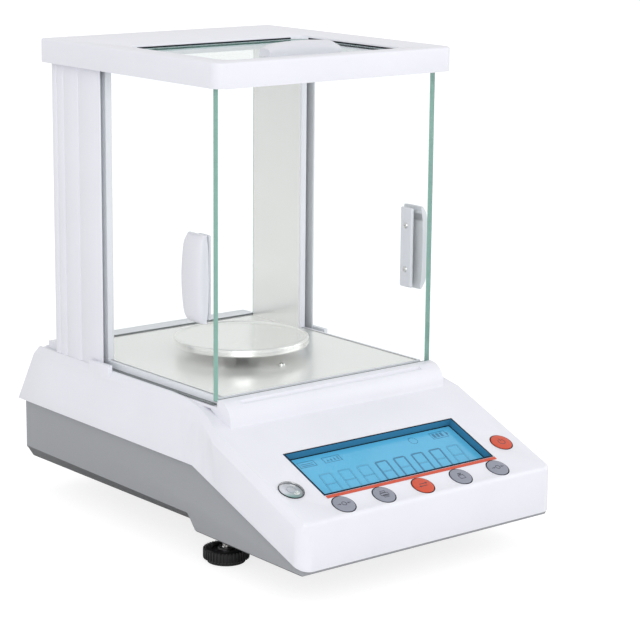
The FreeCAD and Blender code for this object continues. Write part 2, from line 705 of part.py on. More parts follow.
def accent_strip():
    body = panel_body("accent_strip")
    sketch = new_sketch(body, "XY")
    rectangle(sketch, "window_centre - window_half + strip_gap",
              "-window_bottom - strip_gap - strip_height",
              "window_centre + window_half", "-window_bottom - strip_gap")
    add(body, sketch, "strip_thick")
    return body


def key(label, x, down):
    """A round key cap with the flange that keeps it behind the panel."""
    body = panel_body(label, x, down)
    revolve(body, [("0", "-key_seat - key_flange"), ("key_radius + key_reach", "-key_seat - key_flange"),
                   ("key_radius + key_reach", "-key_seat"), ("key_radius", "-key_seat"),
                   ("key_radius", "key_proud - key_round"), ("key_radius - key_round", "key_proud"),
                   ("0", "key_proud")])
    return body


def level_cup():
    body = panel_body("level_cup", "level_x", "-side_row")
    rim = "level_radius - level_wall"
    revolve(body, [("0", "-level_depth"), ("level_radius", "-level_depth"), ("level_radius", "0"),
                   ("level_radius + level_rim", "0"), ("level_radius + level_rim", "level_proud"),
                   (rim, "level_proud"), (rim, "level_wall - level_depth"),
                   ("0", "level_wall - level_depth")])
    return body


def level_vial():
    body = panel_body("level_vial", "level_x", "-side_row")
    edge = "(level_radius - level_wall - 0.05)"
    revolve(body, [("0", "level_wall - level_depth"), (edge, "level_wall - level_depth"), (edge, "0"),
                   (f"{edge} * 0.6", "level_proud * 0.7"), ("0", "level_proud * 0.8")])
    return body


def dc_socket():
    body = new_body("dc_socket", "jack_x", "tray_rear", "socket_height", "90")
    lip = "jack_radius + jack_pin"
    revolve(body, [("0", "jack_depth"), ("jack_radius", "jack_depth"), ("jack_radius", "0"),
                   (lip, "0"), (lip, "-jack_pin"), ("jack_bore", "-jack_pin"),
                   ("jack_bore", "jack_depth - jack_pin * 4"), ("jack_pin", "jack_depth - jack_pin * 4"),
                   ("jack_pin", "jack_pin"), ("0", "jack_pin")])
    return body


def serial_port():
    body = new_body("serial_port")
    low = "socket_height - port_half / 2 + socket_gap"
    high = "socket_height + port_half / 2 - socket_gap"
    add_block(body, "port_x - port_half + socket_gap", "port_x + port_half - socket_gap",
              "tray_rear - jack_depth", "tray_rear", low, high)
    add_block(body, "port_x - port_half - wall", "port_x + port_half + wall", "tray_rear",
              "tray_rear + 1", f"{low} - socket_gap", f"{high} + socket_gap")
    shell = new_sketch(body, "XZ", "-tray_rear - 6")
    outline(shell, [("port_x - port_shell", f"{high} - 1.5"), ("port_x + port_shell", f"{high} - 1.5"),
                    ("port_x + port_shell - 1.5", f"{low} + 1.5"),
                    ("port_x - port_shell + 1.5", f"{low} + 1.5")])
    add(body, shell, "5")
    return body


# ---------------------------------------------------------------- feet and fixings

def foot_pad(label, side):
    body = new_body(label, f"{side} * foot_x", "foot_y")
    revolve(body, [("0", "0"), ("pad_radius", "0"), ("pad_radius", "pad_thick"),
                   ("0", "pad_thick")])
    return body


def foot_knob(label, side):
    """The knurled wheel: a disc with grooves repeated around its rim."""
    body = new_body(label, f"{side} * foot_x", "foot_y")
    top = "pad_thick + knob_height"
    revolve(body, [("stud_radius", "pad_thick"), ("knob_radius - 1", "pad_thick"),
                   ("knob_radius", "pad_thick + 1"), ("knob_radius", f"{top} - 1"),
                   ("knob_radius - 1", top), ("stud_radius", top)])
    notch = new_sketch(body, "XY", "pad_thick")
    outline(notch, [("knob_radius - knurl_depth", "0"), ("knob_radius + knurl_depth", "knurl_depth * 2"),
                    ("knob_radius + knurl_depth", "-knurl_depth * 2")])
    groove = cut(body, notch, "knob_height")
    pattern = body.newObject("PartDesign::PolarPattern", f"{label}_knurl")
    pattern.Originals = [groove]
    pattern.Axis = (notch, ["N_Axis"])
    pattern.Angle = 360
    pattern.setExpression("Occurrences", formula("knob_teeth"))
    body.Tip = pattern
    doc.recompute()
    return body


def foot_stud(label, side):
    body = new_body(label, f"{side} * foot_x", "foot_y")
    revolve(body, [("0", "pad_thick"), ("stud_radius", "pad_thick"), ("stud_radius", "stud_top - 1"),
                   ("stud_radius - 1", "stud_top"), ("0", "stud_top")])
    return body


def rear_foot():
    """The fixed foot: with the two levelling screws it makes a tripod."""
    body = new_body("rear_foot", "0", "rear_foot_y")
    revolve(body, [("0", "0"), ("rear_foot_radius - 2.5", "0"),
                   ("rear_foot_radius - 1", "rear_post_bottom"), ("0", "rear_post_bottom")])
    return body


def casing_screws():
    body = new_body("casing_screws")
    rounds(body, BOSSES, "screw_head", "screw_seat - head_thick", "screw_seat")
    rounds(body, BOSSES, "screw_radius", "screw_seat", "boss_split + 12")
    return body


def build():
    pieces = [lower_tray(), upper_casing(), chamber_floor(), floor_screw(), cap_frame()]
    base = "deck_height"
    cap_bottom = "shield_top - cap_height"
    pieces += [glass_pane("front_glass", "-door_outer", "door_outer", "-glass_front",
                          "front_glass - glass_front", f"{base} - 1.8", f"{cap_bottom} + 4.8"),
               glass_pane("rear_glass", "-floor_half", "floor_half", "pillar_rear + 0.2",
                          "pillar_rear + 0.2 + rear_glass", base, cap_bottom),
               glass_pane("lid_glass", "-lid_half", "lid_half", "opening_front - 3.5", "lid_rear",
                          "shield_top - cap_lip - slot_gap - lid_glass",
                          "shield_top - cap_lip - slot_gap"), lid_grip()]
    for name, side in (("left", -1), ("right", 1)):
        edges = sorted((f"{side} * door_outer", f"{side} * (door_inner)"), key=number)
        pieces += [pillar(f"{name}_pillar", side), pillar_cover(f"{name}_pillar_cover", side),
                   pillar_lining(f"{name}_pillar_lining", side),
                   glass_pane(f"{name}_door_glass", *edges, "front_glass - glass_front + 0.4",
                              "door_rear", f"{base} - door_groove", f"{cap_bottom} + slot_depth"),
                   door_grip(f"{name}_door_grip", side), door_plate(f"{name}_door_plate", side),
                   door_screws(f"{name}_door_screws", side),
                   foot_pad(f"{name}_foot_pad", side), foot_knob(f"{name}_foot_knob", side),
                   foot_stud(f"{name}_foot_stud", side)]
    pieces += [weighing_pan(), pan_stem(), load_receptor(), load_cell(), cell_mount(), cell_base(),
               stop_screw(), main_board(), board_posts(), display_board(), key_switches(),
               lcd_module(), lcd_screen(), display_bezel(), accent_strip(), level_cup(),
               level_vial(), dc_socket(), serial_port(), casing_screws(), rear_foot()]
    pieces += [key(label, x, down) for label, (x, down) in KEY_PLACES.items()]
    return pieces


def check(pieces):
    doc.recompute()
    for item in doc.Objects:
        if {"Invalid", "Error"} & set(item.State):
            raise RuntimeError(f"{item.Label} failed: {item.State}")
    for piece in pieces:
        if piece.Shape.isNull() or not piece.Shape.isValid() or not piece.Shape.Solids:
            raise RuntimeError(f"{piece.Label} has no valid solid")


pieces = build()
check(pieces)
os.makedirs("parts", exist_ok=True)
for piece in pieces:
    piece.Shape.exportStep(f"parts/{piece.Label}.step")
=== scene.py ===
"""The looks of an analytical balance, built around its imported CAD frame."""

import json
import math

import bmesh
import bpy
from bpy.props import FloatProperty, FloatVectorProperty, IntProperty, PointerProperty
from mathutils import Matrix, Vector


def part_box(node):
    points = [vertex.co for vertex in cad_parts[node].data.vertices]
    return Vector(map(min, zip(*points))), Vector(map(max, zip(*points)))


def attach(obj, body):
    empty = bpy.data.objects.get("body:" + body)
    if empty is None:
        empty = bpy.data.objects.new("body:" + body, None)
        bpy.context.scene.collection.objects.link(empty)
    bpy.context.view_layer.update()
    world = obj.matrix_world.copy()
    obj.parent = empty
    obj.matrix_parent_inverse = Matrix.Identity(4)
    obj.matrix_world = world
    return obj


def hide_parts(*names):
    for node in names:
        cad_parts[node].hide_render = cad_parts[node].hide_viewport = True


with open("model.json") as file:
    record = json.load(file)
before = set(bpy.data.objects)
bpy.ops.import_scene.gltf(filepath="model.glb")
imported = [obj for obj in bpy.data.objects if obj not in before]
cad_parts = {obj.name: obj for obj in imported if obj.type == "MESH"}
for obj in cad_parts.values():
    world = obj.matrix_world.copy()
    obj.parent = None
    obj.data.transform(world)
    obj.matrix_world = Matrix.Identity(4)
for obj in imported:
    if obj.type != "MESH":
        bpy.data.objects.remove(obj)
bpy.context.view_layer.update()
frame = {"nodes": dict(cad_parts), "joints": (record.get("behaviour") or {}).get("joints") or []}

bl_info = {
    "name": "Analytical balance",
    "version": (1, 0, 0),
    "blender": (4, 5, 0),
    "location": "View3D > Sidebar > Balance",
    "description": "Builds the pieces of an analytical balance around its frame",
    "category": "Add Mesh",
}

MM = 0.001
SIDES = {"left": -1, "right": 1}


# ---------------------------------------------------------------- settings

def colour(name, value, text):
    return FloatVectorProperty(name=name, description=text, subtype="COLOR", size=3,
                               min=0, max=1, default=value)


def number(name, value, text, **more):
    kind = IntProperty if isinstance(value, int) else FloatProperty
    return kind(name=name, description=text, default=value, **more)


def length(name, value, text):
    return number(name, value, text, unit="LENGTH")


def degrees(name, value, text):
    return number(name, math.radians(value), text, subtype="ANGLE")


def position(name, value, text):
    return FloatVectorProperty(name=name, description=text, subtype="TRANSLATION",
                               size=len(value), default=value)


class BalanceFinish(bpy.types.PropertyGroup):
    casing: colour("Casing", (0.80, 0.805, 0.865), "White moulded plastic of the casing and cap")
    tray: colour("Tray", (0.315, 0.325, 0.345), "Grey moulded plastic of the lower tray")
    glass: colour("Glass", (0.993, 0.999, 0.997), "Tint of the panes seen face on")
    glass_edge: colour("Glass edge", (0.15, 0.285, 0.245), "Colour of the cut edges of the panes")
    steel: colour("Steel", (0.90, 0.895, 0.88), "Brushed stainless steel")
    screen: colour("Screen", (0.095, 0.42, 0.66), "Lit background of the display")
    ink: colour("Segments", (0.04, 0.20, 0.36), "Dark segments of the display")
    red: colour("Red", (0.62, 0.075, 0.03), "Red keys and strip")
    grey_key: colour("Grey keys", (0.27, 0.285, 0.35), "Grey keys")


class BalanceDetail(bpy.types.PropertyGroup):
    glass_arris: length("Glass arris", 0.5 * MM, "Width of the polished bevel on the panes")
    edge_round: length("Edge rounding", 0.35 * MM, "Rounding of sharp moulded edges")
    knurl_count: number("Knurls", 40, "Ribs round a foot knob", min=8, max=90)
    knurl_depth: length("Knurl depth", 0.8 * MM, "How far a rib stands out")
    thread_pitch: length("Thread pitch", 1.0 * MM, "Pitch of the levelling studs")
    underside: length("Underside", 26.5 * MM, "Height of the tray's flat underside")
    step: length("Step", -42 * MM, "Where the underside steps down towards the nose")
    deepening: length("Deepening", 2.4 * MM, "How much lower the underside is made")
    opening_low: position("Opening, left front", (-86.5 * MM, -57 * MM),
                          "Corner of the opening in the cap")
    opening_high: position("Opening, right rear", (68 * MM, 58 * MM),
                           "Far corner of the opening in the cap")
    lathe_steps: number("Lathe steps", 96, "Facets round a turned piece", min=24, max=256)


class BalanceStage(bpy.types.PropertyGroup):
    azimuth: degrees("Azimuth", -39.29, "Camera turn about the object")
    elevation: degrees("Elevation", 12.55, "Camera height above level")
    roll: degrees("Roll", 0.57, "Camera turn about its own axis")
    distance: length("Distance", 1.5552, "Camera distance from its target")
    target: position("Target", (0.02535, -0.0198, 0.1466), "Point in the middle of the view")
    lens: number("Lens", 122.6, "Focal length in millimetres")
    key_power: number("Key light", 12.0, "Power of the main soft light", min=0)
    fill_power: number("Fill light", 6.0, "Power of the side light", min=0)
    world: number("Surroundings", 0.87, "Brightness of the studio around", min=0)


# ---------------------------------------------------------------- node helpers

def socket_in(tree, name, kind, value=None):
    made = tree.interface.new_socket(name, in_out="INPUT", socket_type=f"NodeSocket{kind}")
    if value is not None:
        made.default_value = value


def socket_out(tree, name, kind):
    tree.interface.new_socket(name, in_out="OUTPUT", socket_type=f"NodeSocket{kind}")


def feed(tree, target, **values):
    """Give a node's inputs, named with _ for a space or by number, a value or a link."""
    for name, value in values.items():
        socket = target.inputs[int(name) if name.isdigit() else name.replace("_", " ")]
        if isinstance(value, bpy.types.NodeSocket):
            tree.links.new(value, socket)
        else:
            socket.default_value = value
    return target


def node(tree, kind, **values):
    """Add a node, set its properties, then its inputs, given as in_Name."""
    made = tree.nodes.new(kind)
    for name, value in values.items():
        if not name.startswith("in_"):
            setattr(made, name, value)
    return feed(tree, made, **{name[3:]: value for name, value in values.items()
                               if name.startswith("in_")})


def math_node(tree, operation, first, second, clamp=False):
    return node(tree, "ShaderNodeMath", operation=operation, use_clamp=clamp, in_0=first,
                in_1=second).outputs[0]


def map_range(tree, value, from_min, from_max, to_min=0.0, to_max=1.0):
    return node(tree, "ShaderNodeMapRange", in_Value=value, in_From_Min=from_min,
                in_From_Max=from_max, in_To_Min=to_min, in_To_Max=to_max).outputs[0]


def mix(tree, mask, low, high):
    """Mix two colours, each a plain colour or a socket."""
    pair = [tone if isinstance(tone, bpy.types.NodeSocket) else (*tone, 1) for tone in (low, high)]
    return node(tree, "ShaderNodeMix", data_type="RGBA", in_0=mask, in_6=pair[0],
                in_7=pair[1]).outputs[2]


def new_group(name, kind, inputs, outputs):
    """A node group with named sockets: the tree, what it is given and its output node."""
    tree = bpy.data.node_groups.new(name, kind)
    for item in inputs:
        socket_in(tree, *item)
    for item in outputs:
        socket_out(tree, *item)
    return tree, tree.nodes.new("NodeGroupInput").outputs, tree.nodes.new("NodeGroupOutput")


# ---------------------------------------------------------------- shader groups

def uneven(tree, given, pattern):
    """The base roughness, raised and lowered by a pattern."""
    centred = math_node(tree, "SUBTRACT", pattern, 0.5)
    spread = math_node(tree, "MULTIPLY", centred, given["Roughness Spread"])
    return math_node(tree, "ADD", spread, given["Base Roughness"], clamp=True)


def grain_group():
    """Fine spark-eroded grain of a moulded face, with slow patches of gloss."""
    tree, given, out = new_group(
        "moulded_grain", "ShaderNodeTree",
        [("Vector", "Vector"), ("Grain Scale", "Float", 1600.0), ("Base Roughness", "Float", 0.4),
         ("Roughness Spread", "Float", 0.1)],
        [("Height", "Float"), ("Roughness", "Float"), ("Patch", "Float")])
    fine = node(tree, "ShaderNodeTexNoise", in_Detail=2.0, in_Vector=given["Vector"],
                in_Scale=given["Grain Scale"]).outputs[0]
    slow = node(tree, "ShaderNodeTexNoise", in_Scale=22.0, in_Detail=3.0,
                in_Vector=given["Vector"]).outputs[0]
    feed(tree, out, Height=fine, Roughness=uneven(tree, given, slow), Patch=slow)
    return tree


def brushed_group():
    """Long fine scratches along one axis, and the uneven sheen they leave."""
    tree, given, out = new_group(
        "brushed_lines", "ShaderNodeTree",
        [("Vector", "Vector"), ("Stretch", "Vector", (900.0, 12.0, 900.0)),
         ("Base Roughness", "Float", 0.25), ("Roughness Spread", "Float", 0.2)],
        [("Height", "Float"), ("Roughness", "Float"), ("Streak", "Float")])
    scaled = node(tree, "ShaderNodeVectorMath", operation="MULTIPLY", in_0=given["Vector"],
                  in_1=given["Stretch"])
    lines = node(tree, "ShaderNodeTexNoise", in_Scale=1.0, in_Detail=3.0,
                 in_Vector=scaled.outputs[0]).outputs[0]
    feed(tree, out, Height=lines, Roughness=uneven(tree, given, lines), Streak=lines)
    return tree


def wear_group():
    """Handling marks: faint smears and specks, as a mask from 0 to 1."""
    tree, given, out = new_group(
        "handling_marks", "ShaderNodeTree",
        [("Vector", "Vector"), ("Scale", "Float", 30.0), ("Amount", "Float", 0.3)],
        [("Mask", "Float")])
    smear = node(tree, "ShaderNodeTexNoise", in_Detail=5.0, in_Roughness=0.62, in_Distortion=1.2,
                 in_Vector=given["Vector"], in_Scale=given["Scale"])
    band = map_range(tree, smear.outputs[0], 0.5, 0.72)
    feed(tree, out, Mask=math_node(tree, "MULTIPLY", band, given["Amount"], clamp=True))
    return tree


# ---------------------------------------------------------------- materials

FLAT = 0.005 * MM       # bump of printed ink and other smooth faces
SATIN = 0.01 * MM       # bump of the keys
LAPPED = 0.003 * MM     # bump of the chamber's sheet steel

# How each plain finish is made: its kind, its name, its base colour or the setting that holds
# it, its roughness, and what differs from the kind's defaults.
PLAIN = {
    "casing": ("moulded", "casing_plastic", "casing", 0.36, {"coat": 0.15}),
    "grey_key": ("moulded", "grey_key_plastic", "grey_key", 0.42, {"depth": SATIN}),
    "red_key": ("moulded", "red_key_plastic", "red", 0.42, {"depth": SATIN}),
    "legend": ("moulded", "legend_ink", (0.05, 0.055, 0.07), 0.55, {"depth": FLAT}),
    "faint_line": ("moulded", "level_line", (0.30, 0.34, 0.36), 0.4, {"depth": FLAT}),
    "black": ("moulded", "black_plastic", (0.012, 0.016, 0.021), 0.38, {"grain": 900.0}),
    "bezel": ("moulded", "bezel_plastic", (0.008, 0.012, 0.018), 0.5,
              {"depth": FLAT, "gloss": 0.1}),
    "bezel_wall": ("moulded", "bezel_wall_plastic", (0.045, 0.22, 0.38), 0.5,
                   {"depth": FLAT, "gloss": 0.2}),
    "rubber": ("moulded", "foot_rubber", (0.018, 0.018, 0.019), 0.75,
               {"grain": 700.0, "depth": 0.1 * MM}),
    "knob": ("moulded", "knob_plastic", (0.010, 0.010, 0.011), 0.33, {"grain": 900.0}),
    "cast": ("moulded", "painted_casting", (0.06, 0.065, 0.07), 0.6,
             {"grain": 450.0, "depth": 0.15 * MM}),
    # Painted shade: the dark grey seated end faces of the panes stand for the shadowed channels they sit
    # in.
    "pane_seat": ("moulded", "glass_seat", (0.17, 0.185, 0.19), 0.4, {"depth": FLAT}),
    "ink": ("moulded", "segment_ink", "ink", 0.3, {"depth": 0.001 * MM}),
    "rail": ("metal", "rail_metal", (0.42, 0.42, 0.43), 0.35,
             {"stretch": (60.0, 60.0, 900.0), "metallic": 0.6}),
    "floor_steel": ("metal", "floor_steel", "steel", 0.24,
                    {"stretch": (35.0, 1400.0, 1400.0), "spread": 0.07, "depth": LAPPED,
                     "darker": 0.965, "metallic": 0.55}),
    "lining_steel": ("metal", "lining_steel", "steel", 0.22,
                     {"stretch": (1400.0, 1400.0, 14.0), "spread": 0.07, "depth": LAPPED,
                      "darker": 0.97, "metallic": 0.5}),
    "stem_steel": ("metal", "stem_steel", (0.30, 0.30, 0.30), 0.3,
                   {"stretch": (1200.0, 1200.0, 60.0)}),
    "bright_steel": ("metal", "bright_steel", (0.75, 0.75, 0.74), 0.12,
                     {"stretch": (900.0, 900.0, 900.0), "spread": 0.1}),
    "aluminium": ("metal", "milled_aluminium", (0.66, 0.67, 0.68), 0.32,
                  {"stretch": (60.0, 1500.0, 1500.0)}),
    "bubble": ("metal", "bubble_shine", (0.86, 0.9, 0.89), 0.08,
               {"stretch": (200.0, 200.0, 200.0), "spread": 0.05}),
}


class Paint:
    """Makes each material once, by name, from the finish settings."""

    def __init__(self, finish):
        self.finish = finish
        self.groups = {"grain": grain_group(), "brushed": brushed_group(), "wear": wear_group()}
        self.made = {}

    def __getitem__(self, name):
        if name not in self.made:
            self.made[name] = self.plain(*PLAIN[name]) if name in PLAIN else getattr(self, name)()
        return self.made[name]

    def plain(self, kind, name, base, rough, more):
        if isinstance(base, str):
            base = getattr(self.finish, base)
        return getattr(self, kind)(name, base, rough, **more)

    def start(self, name):
        made = bpy.data.materials.new(name)
        made.use_nodes = True
        tree = made.node_tree
        place = node(tree, "ShaderNodeTexCoord").outputs["Object"]
        return made, tree, tree.nodes["Principled BSDF"], place

    def add_group(self, tree, name, place, **values):
        made = node(tree, "ShaderNodeGroup", node_tree=self.groups[name])
        return feed(tree, made, Vector=place, **values).outputs

    def add_grain(self, tree, shader, place, scale, rough, spread):
        grain = self.add_group(tree, "grain", place, Grain_Scale=scale, Base_Roughness=rough,
                               Roughness_Spread=spread)
        feed(tree, shader, Roughness=grain["Roughness"])
        return grain

    def tone(self, tree, shader, base, mask, darker=0.93):
        """Vary the base colour between itself and a darker tone by a mask."""
        feed(tree, shader, Base_Color=mix(tree, mask, [c * darker for c in base], base))

    def bump(self, tree, shader, height, distance):
        made = node(tree, "ShaderNodeBump", in_Strength=1.0, in_Distance=distance, in_Height=height)
        feed(tree, shader, Normal=made.outputs[0])

    def moulded(self, name, base, rough, grain=1600.0, depth=0.02 * MM, coat=0.0, spread=0.12,
                gloss=0.5):
        made, tree, shader, place = self.start(name)
        grain = self.add_grain(tree, shader, place, grain, rough, spread)
        self.tone(tree, shader, base, grain["Patch"])
        self.bump(tree, shader, grain["Height"], depth)
        feed(tree, shader, Coat_Weight=coat, Coat_Roughness=0.12, Specular_IOR_Level=gloss)
        return made

    def metal(self, name, base, rough, stretch, spread=0.2, depth=0.01 * MM, darker=0.86,
              metallic=1.0):
        made, tree, shader, place = self.start(name)
        lines = self.add_group(tree, "brushed", place, Stretch=stretch, Base_Roughness=rough,
                               Roughness_Spread=spread)
        feed(tree, shader, Metallic=metallic, Roughness=lines["Roughness"])
        self.tone(tree, shader, base, lines["Streak"], darker)
        self.bump(tree, shader, lines["Height"], depth)
        return made

    def handle(self):
        # Painted shade: a copy of the casing plastic made a tenth darker for the handles and clamp
        # plates.
        base = [0.9 * value for value in self.finish.casing]
        return self.moulded("handle_plastic", base, 0.36, coat=0.1)

    def tray(self):
        """Grey plastic with a coarse grain, with painted shade where it turns under: downward faces are
        darkened.
        """
        made, tree, shader, place = self.start("tray_plastic")
        grain = self.add_grain(tree, shader, place, 900.0, 0.5, 0.12)
        self.bump(tree, shader, grain["Height"], 0.06 * MM)
        # Painted shade: faces that point downwards are darkened to a third of the grey, as the shade
        # under the tray.
        normal = node(tree, "ShaderNodeNewGeometry").outputs["True Normal"]
        lift = node(tree, "ShaderNodeSeparateXYZ", in_0=normal).outputs["Z"]
        self.tone(tree, shader, self.finish.tray, map_range(tree, lift, -0.2, -0.45, 1.0, 0.0), 0.3)
        return made

    def pan_steel(self):
        """Steel turned on a lathe: the scratches run round the pan's centre."""
        made, tree, shader, place = self.start("pan_steel")
        low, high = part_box("weighing_pan")
        centre = (low + high) / 2
        moved = node(tree, "ShaderNodeMapping", in_Vector=place,
                     in_Location=(-centre.x, -centre.y, 0)).outputs[0]
        flat = node(tree, "ShaderNodeVectorMath", operation="MULTIPLY", in_0=moved, in_1=(1, 1, 0))
        reach = node(tree, "ShaderNodeVectorMath", operation="LENGTH", in_0=flat.outputs[0])
        rings = node(tree, "ShaderNodeCombineXYZ", in_X=reach.outputs["Value"])
        lines = self.add_group(tree, "brushed", rings.outputs[0], Stretch=(2600.0, 1.0, 1.0),
                               Base_Roughness=0.22, Roughness_Spread=0.18)
        marks = self.add_group(tree, "wear", place, Scale=45.0, Amount=0.06)
        rough = math_node(tree, "ADD", lines["Roughness"], marks["Mask"], clamp=True)
        feed(tree, shader, Roughness=rough, Metallic=1.0)
        self.tone(tree, shader, self.finish.steel, lines["Streak"], 0.93)
        self.bump(tree, shader, lines["Height"], 0.008 * MM)
        return made

    def pane(self):
        """Clear float glass: it shows what is behind it and mirrors a little of the room."""
        made, tree, shader, place = self.start("shield_glass")
        tree.nodes.remove(shader)
        marks = self.add_group(tree, "wear", place, Scale=9.0, Amount=0.03)
        clear = node(tree, "ShaderNodeBsdfTransparent", in_Color=(*self.finish.glass, 1))
        mirror = node(tree, "ShaderNodeBsdfGlossy", in_Color=(0.9, 0.96, 0.95, 1),
                      in_Roughness=marks["Mask"])
        angle = node(tree, "ShaderNodeFresnel", in_IOR=1.4).outputs[0]
        behind = node(tree, "ShaderNodeNewGeometry").outputs["Backfacing"]
        amount = math_node(tree, "MULTIPLY", angle, math_node(tree, "SUBTRACT", 1.0, behind))
        both = node(tree, "ShaderNodeMixShader", in_0=amount, in_1=clear.outputs[0],
                    in_2=mirror.outputs[0])
        feed(tree, tree.nodes["Material Output"], Surface=both.outputs[0])
        return made

    def pane_edge(self):
        made, tree, shader, place = self.start("glass_edge")
        marks = self.add_group(tree, "wear", place, Scale=160.0, Amount=0.35)
        self.tone(tree, shader, self.finish.glass_edge, marks["Mask"], 1.5)
        feed(tree, shader, Roughness=marks["Mask"], Specular_IOR_Level=0.7)
        return made

    def screen(self):
        made, tree, shader, place = self.start("display_screen")
        grain = self.add_grain(tree, shader, place, 2600.0, 0.16, 0.05)
        self.tone(tree, shader, self.finish.screen, grain["Patch"], 0.9)
        feed(tree, shader, Emission_Color=(*self.finish.screen, 1), Emission_Strength=0.12)
        return made

    def faint_ink(self):
        base = [0.75 * s + 0.25 * i for s, i in zip(self.finish.screen, self.finish.ink)]
        return self.moulded("faint_segment_ink", base, 0.3, depth=0.001 * MM)

    def vial(self):
        """A dome of green liquid, painted pale over its upper part as a reflection and darker towards its
        right side as shade.
        """
        made, tree, shader, place = self.start("vial_liquid")
        low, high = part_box("level_vial")
        axes = node(tree, "ShaderNodeSeparateXYZ", in_0=place).outputs
        tall = high.z - low.z
        # Painted reflection: above this height the green turns pale.
        lift = map_range(tree, axes["Z"], low.z + 0.52 * tall, low.z + 0.74 * tall)
        # Painted shade: the dome darkens towards its right side.
        across = map_range(tree, axes["X"], low.x, high.x, 1.0, 0.0)
        liquid = mix(tree, lift, (0.10, 0.30, 0.26), (0.66, 0.67, 0.74))
        feed(tree, shader, Base_Color=mix(tree, across, (0.22, 0.25, 0.28), liquid),
             Coat_Weight=1.0, Coat_Roughness=0.02)
        self.add_grain(tree, shader, place, 300.0, 0.08, 0.03)
        return made

    def board(self):
        """Solder mask over copper: pale tracks a shade apart from the green."""
        made, tree, shader, place = self.start("circuit_board")
        cells = node(tree, "ShaderNodeTexBrick", in_Scale=90.0, in_Mortar_Size=0.06,
                     in_Vector=place, in_Color1=(0.012, 0.10, 0.045, 1),
                     in_Color2=(0.010, 0.08, 0.04, 1), in_Mortar=(0.05, 0.2, 0.09, 1)).outputs
        feed(tree, shader, Base_Color=cells["Color"])
        self.add_grain(tree, shader, place, 1200.0, 0.35, 0.1)
        self.bump(tree, shader, cells["Fac"], 0.03 * MM)
        return made


paint = None


# ---------------------------------------------------------------- mesh helpers

def mesh_object(name, mesh):
    made = bpy.data.objects.new(name, mesh)
    bpy.context.scene.collection.objects.link(made)
    return made


def from_bmesh(name, bm, merge=1e-7):
    if merge:
        bmesh.ops.remove_doubles(bm, verts=bm.verts, dist=merge)
    bmesh.ops.recalc_face_normals(bm, faces=bm.faces)
    mesh = bpy.data.meshes.new(name)
    bm.to_mesh(mesh)
    bm.free()
    return mesh_object(name, mesh)


def shade(piece, angle=32):
    """Smooth the curved runs of a mesh and keep its corners crisp."""
    mesh = piece.data
    mesh.polygons.foreach_set("use_smooth", [True] * len(mesh.polygons))
    mesh.set_sharp_from_angle(angle=math.radians(angle))
    return piece


def bake(piece):
    """Turn a piece's modifiers into its plain mesh."""
    graph = bpy.context.evaluated_depsgraph_get()
    mesh = bpy.data.meshes.new_from_object(piece.evaluated_get(graph))
    piece.modifiers.clear()
    old, piece.data = piece.data, mesh
    bpy.data.meshes.remove(old)
    return piece


def finish(piece, body, materials, replaces=(), slot=None):
    """Give a piece its materials and its body, and hide the CAD nodes it replaces; slot is not used."""
    if materials is not None:
        if piece.data.materials:
            piece.data.materials.clear()
        for name in [materials] if isinstance(materials, str) else materials:
            piece.data.materials.append(paint[name])
    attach(piece, body)
    if replaces:
        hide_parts(*([replaces] if isinstance(replaces, str) else replaces))
    return piece


def repaint(name, material):
    """Give a CAD node that is shown as it is one of the materials."""
    item = frame["nodes"][name]
    item.data.materials.clear()
    item.data.materials.append(paint[material])


def soften(cad, name, width, segments=2, limit=35):
    """A merged copy of a CAD node with its sharp edges rounded."""
    source = frame["nodes"][cad].data
    bm = bmesh.new()
    bm.from_mesh(source)
    bmesh.ops.remove_doubles(bm, verts=bm.verts, dist=2e-6)
    bmesh.ops.dissolve_limit(bm, angle_limit=math.radians(0.6), verts=bm.verts, edges=bm.edges)
    mesh = bpy.data.meshes.new(name)
    bm.to_mesh(mesh)
    bm.free()
    piece = mesh_object(name, mesh)
    if width:
        bevel = piece.modifiers.new("edge_round", "BEVEL")
        bevel.width = width
        bevel.segments = segments
        bevel.limit_method = "ANGLE"
        bevel.angle_limit = math.radians(limit)
        bevel.use_clamp_overlap = True
        bake(piece)
    return shade(piece)


def lathe(profile, steps, centre=(0, 0, 0)):
    """Turn (radius, height) points about an upright axis, closed at both ends."""
    bm = bmesh.new()
    rings = []
    for radius, height in profile:
        if radius < 1e-9:
            rings.append([bm.verts.new((centre[0], centre[1], centre[2] + height))])
            continue
        turn = (2 * math.pi * step / steps for step in range(steps))
        rings.append([bm.verts.new((centre[0] + radius * math.cos(a), centre[1] + radius * math.sin(a),
                                    centre[2] + height)) for a in turn])
    for low, high in zip(rings, rings[1:]):
        for i in range(steps):
            j = (i + 1) % steps
            if len(low) == 1:
                bm.faces.new((low[0], high[j], high[i]))
            elif len(high) == 1:
                bm.faces.new((low[i], low[j], high[0]))
            else:
                bm.faces.new((low[i], low[j], high[j], high[i]))
    return bm


def add_box(bm, low, high):
    """Add a closed box to a bmesh and return its vertices."""
    made = bmesh.ops.create_cube(bm, size=1.0)["verts"]
    low, high = Vector(low), Vector(high)
    for vert in made:
        vert.co = Vector((low[i] + (high[i] - low[i]) * (vert.co[i] + 0.5) for i in range(3)))
    return made


def loft_rings(bm, rings):
    """Join equal rings of points with quads and cap both ends."""
    verts = [[bm.verts.new(point) for point in ring] for ring in rings]
    count = len(verts[0])
    for low, high in zip(verts, verts[1:]):
        for i in range(count):
            j = (i + 1) % count
            bm.faces.new((low[i], low[j], high[j], high[i]))
    bm.faces.new(list(reversed(verts[0])))
    bm.faces.new(verts[-1])


def arc(centre, radius, start, end, steps):
    """Points on an arc in a plane, angles in degrees."""
    for step in range(steps + 1):
        a = math.radians(start + (end - start) * step / steps)
        yield centre[0] + radius * math.cos(a), centre[1] + radius * math.sin(a)


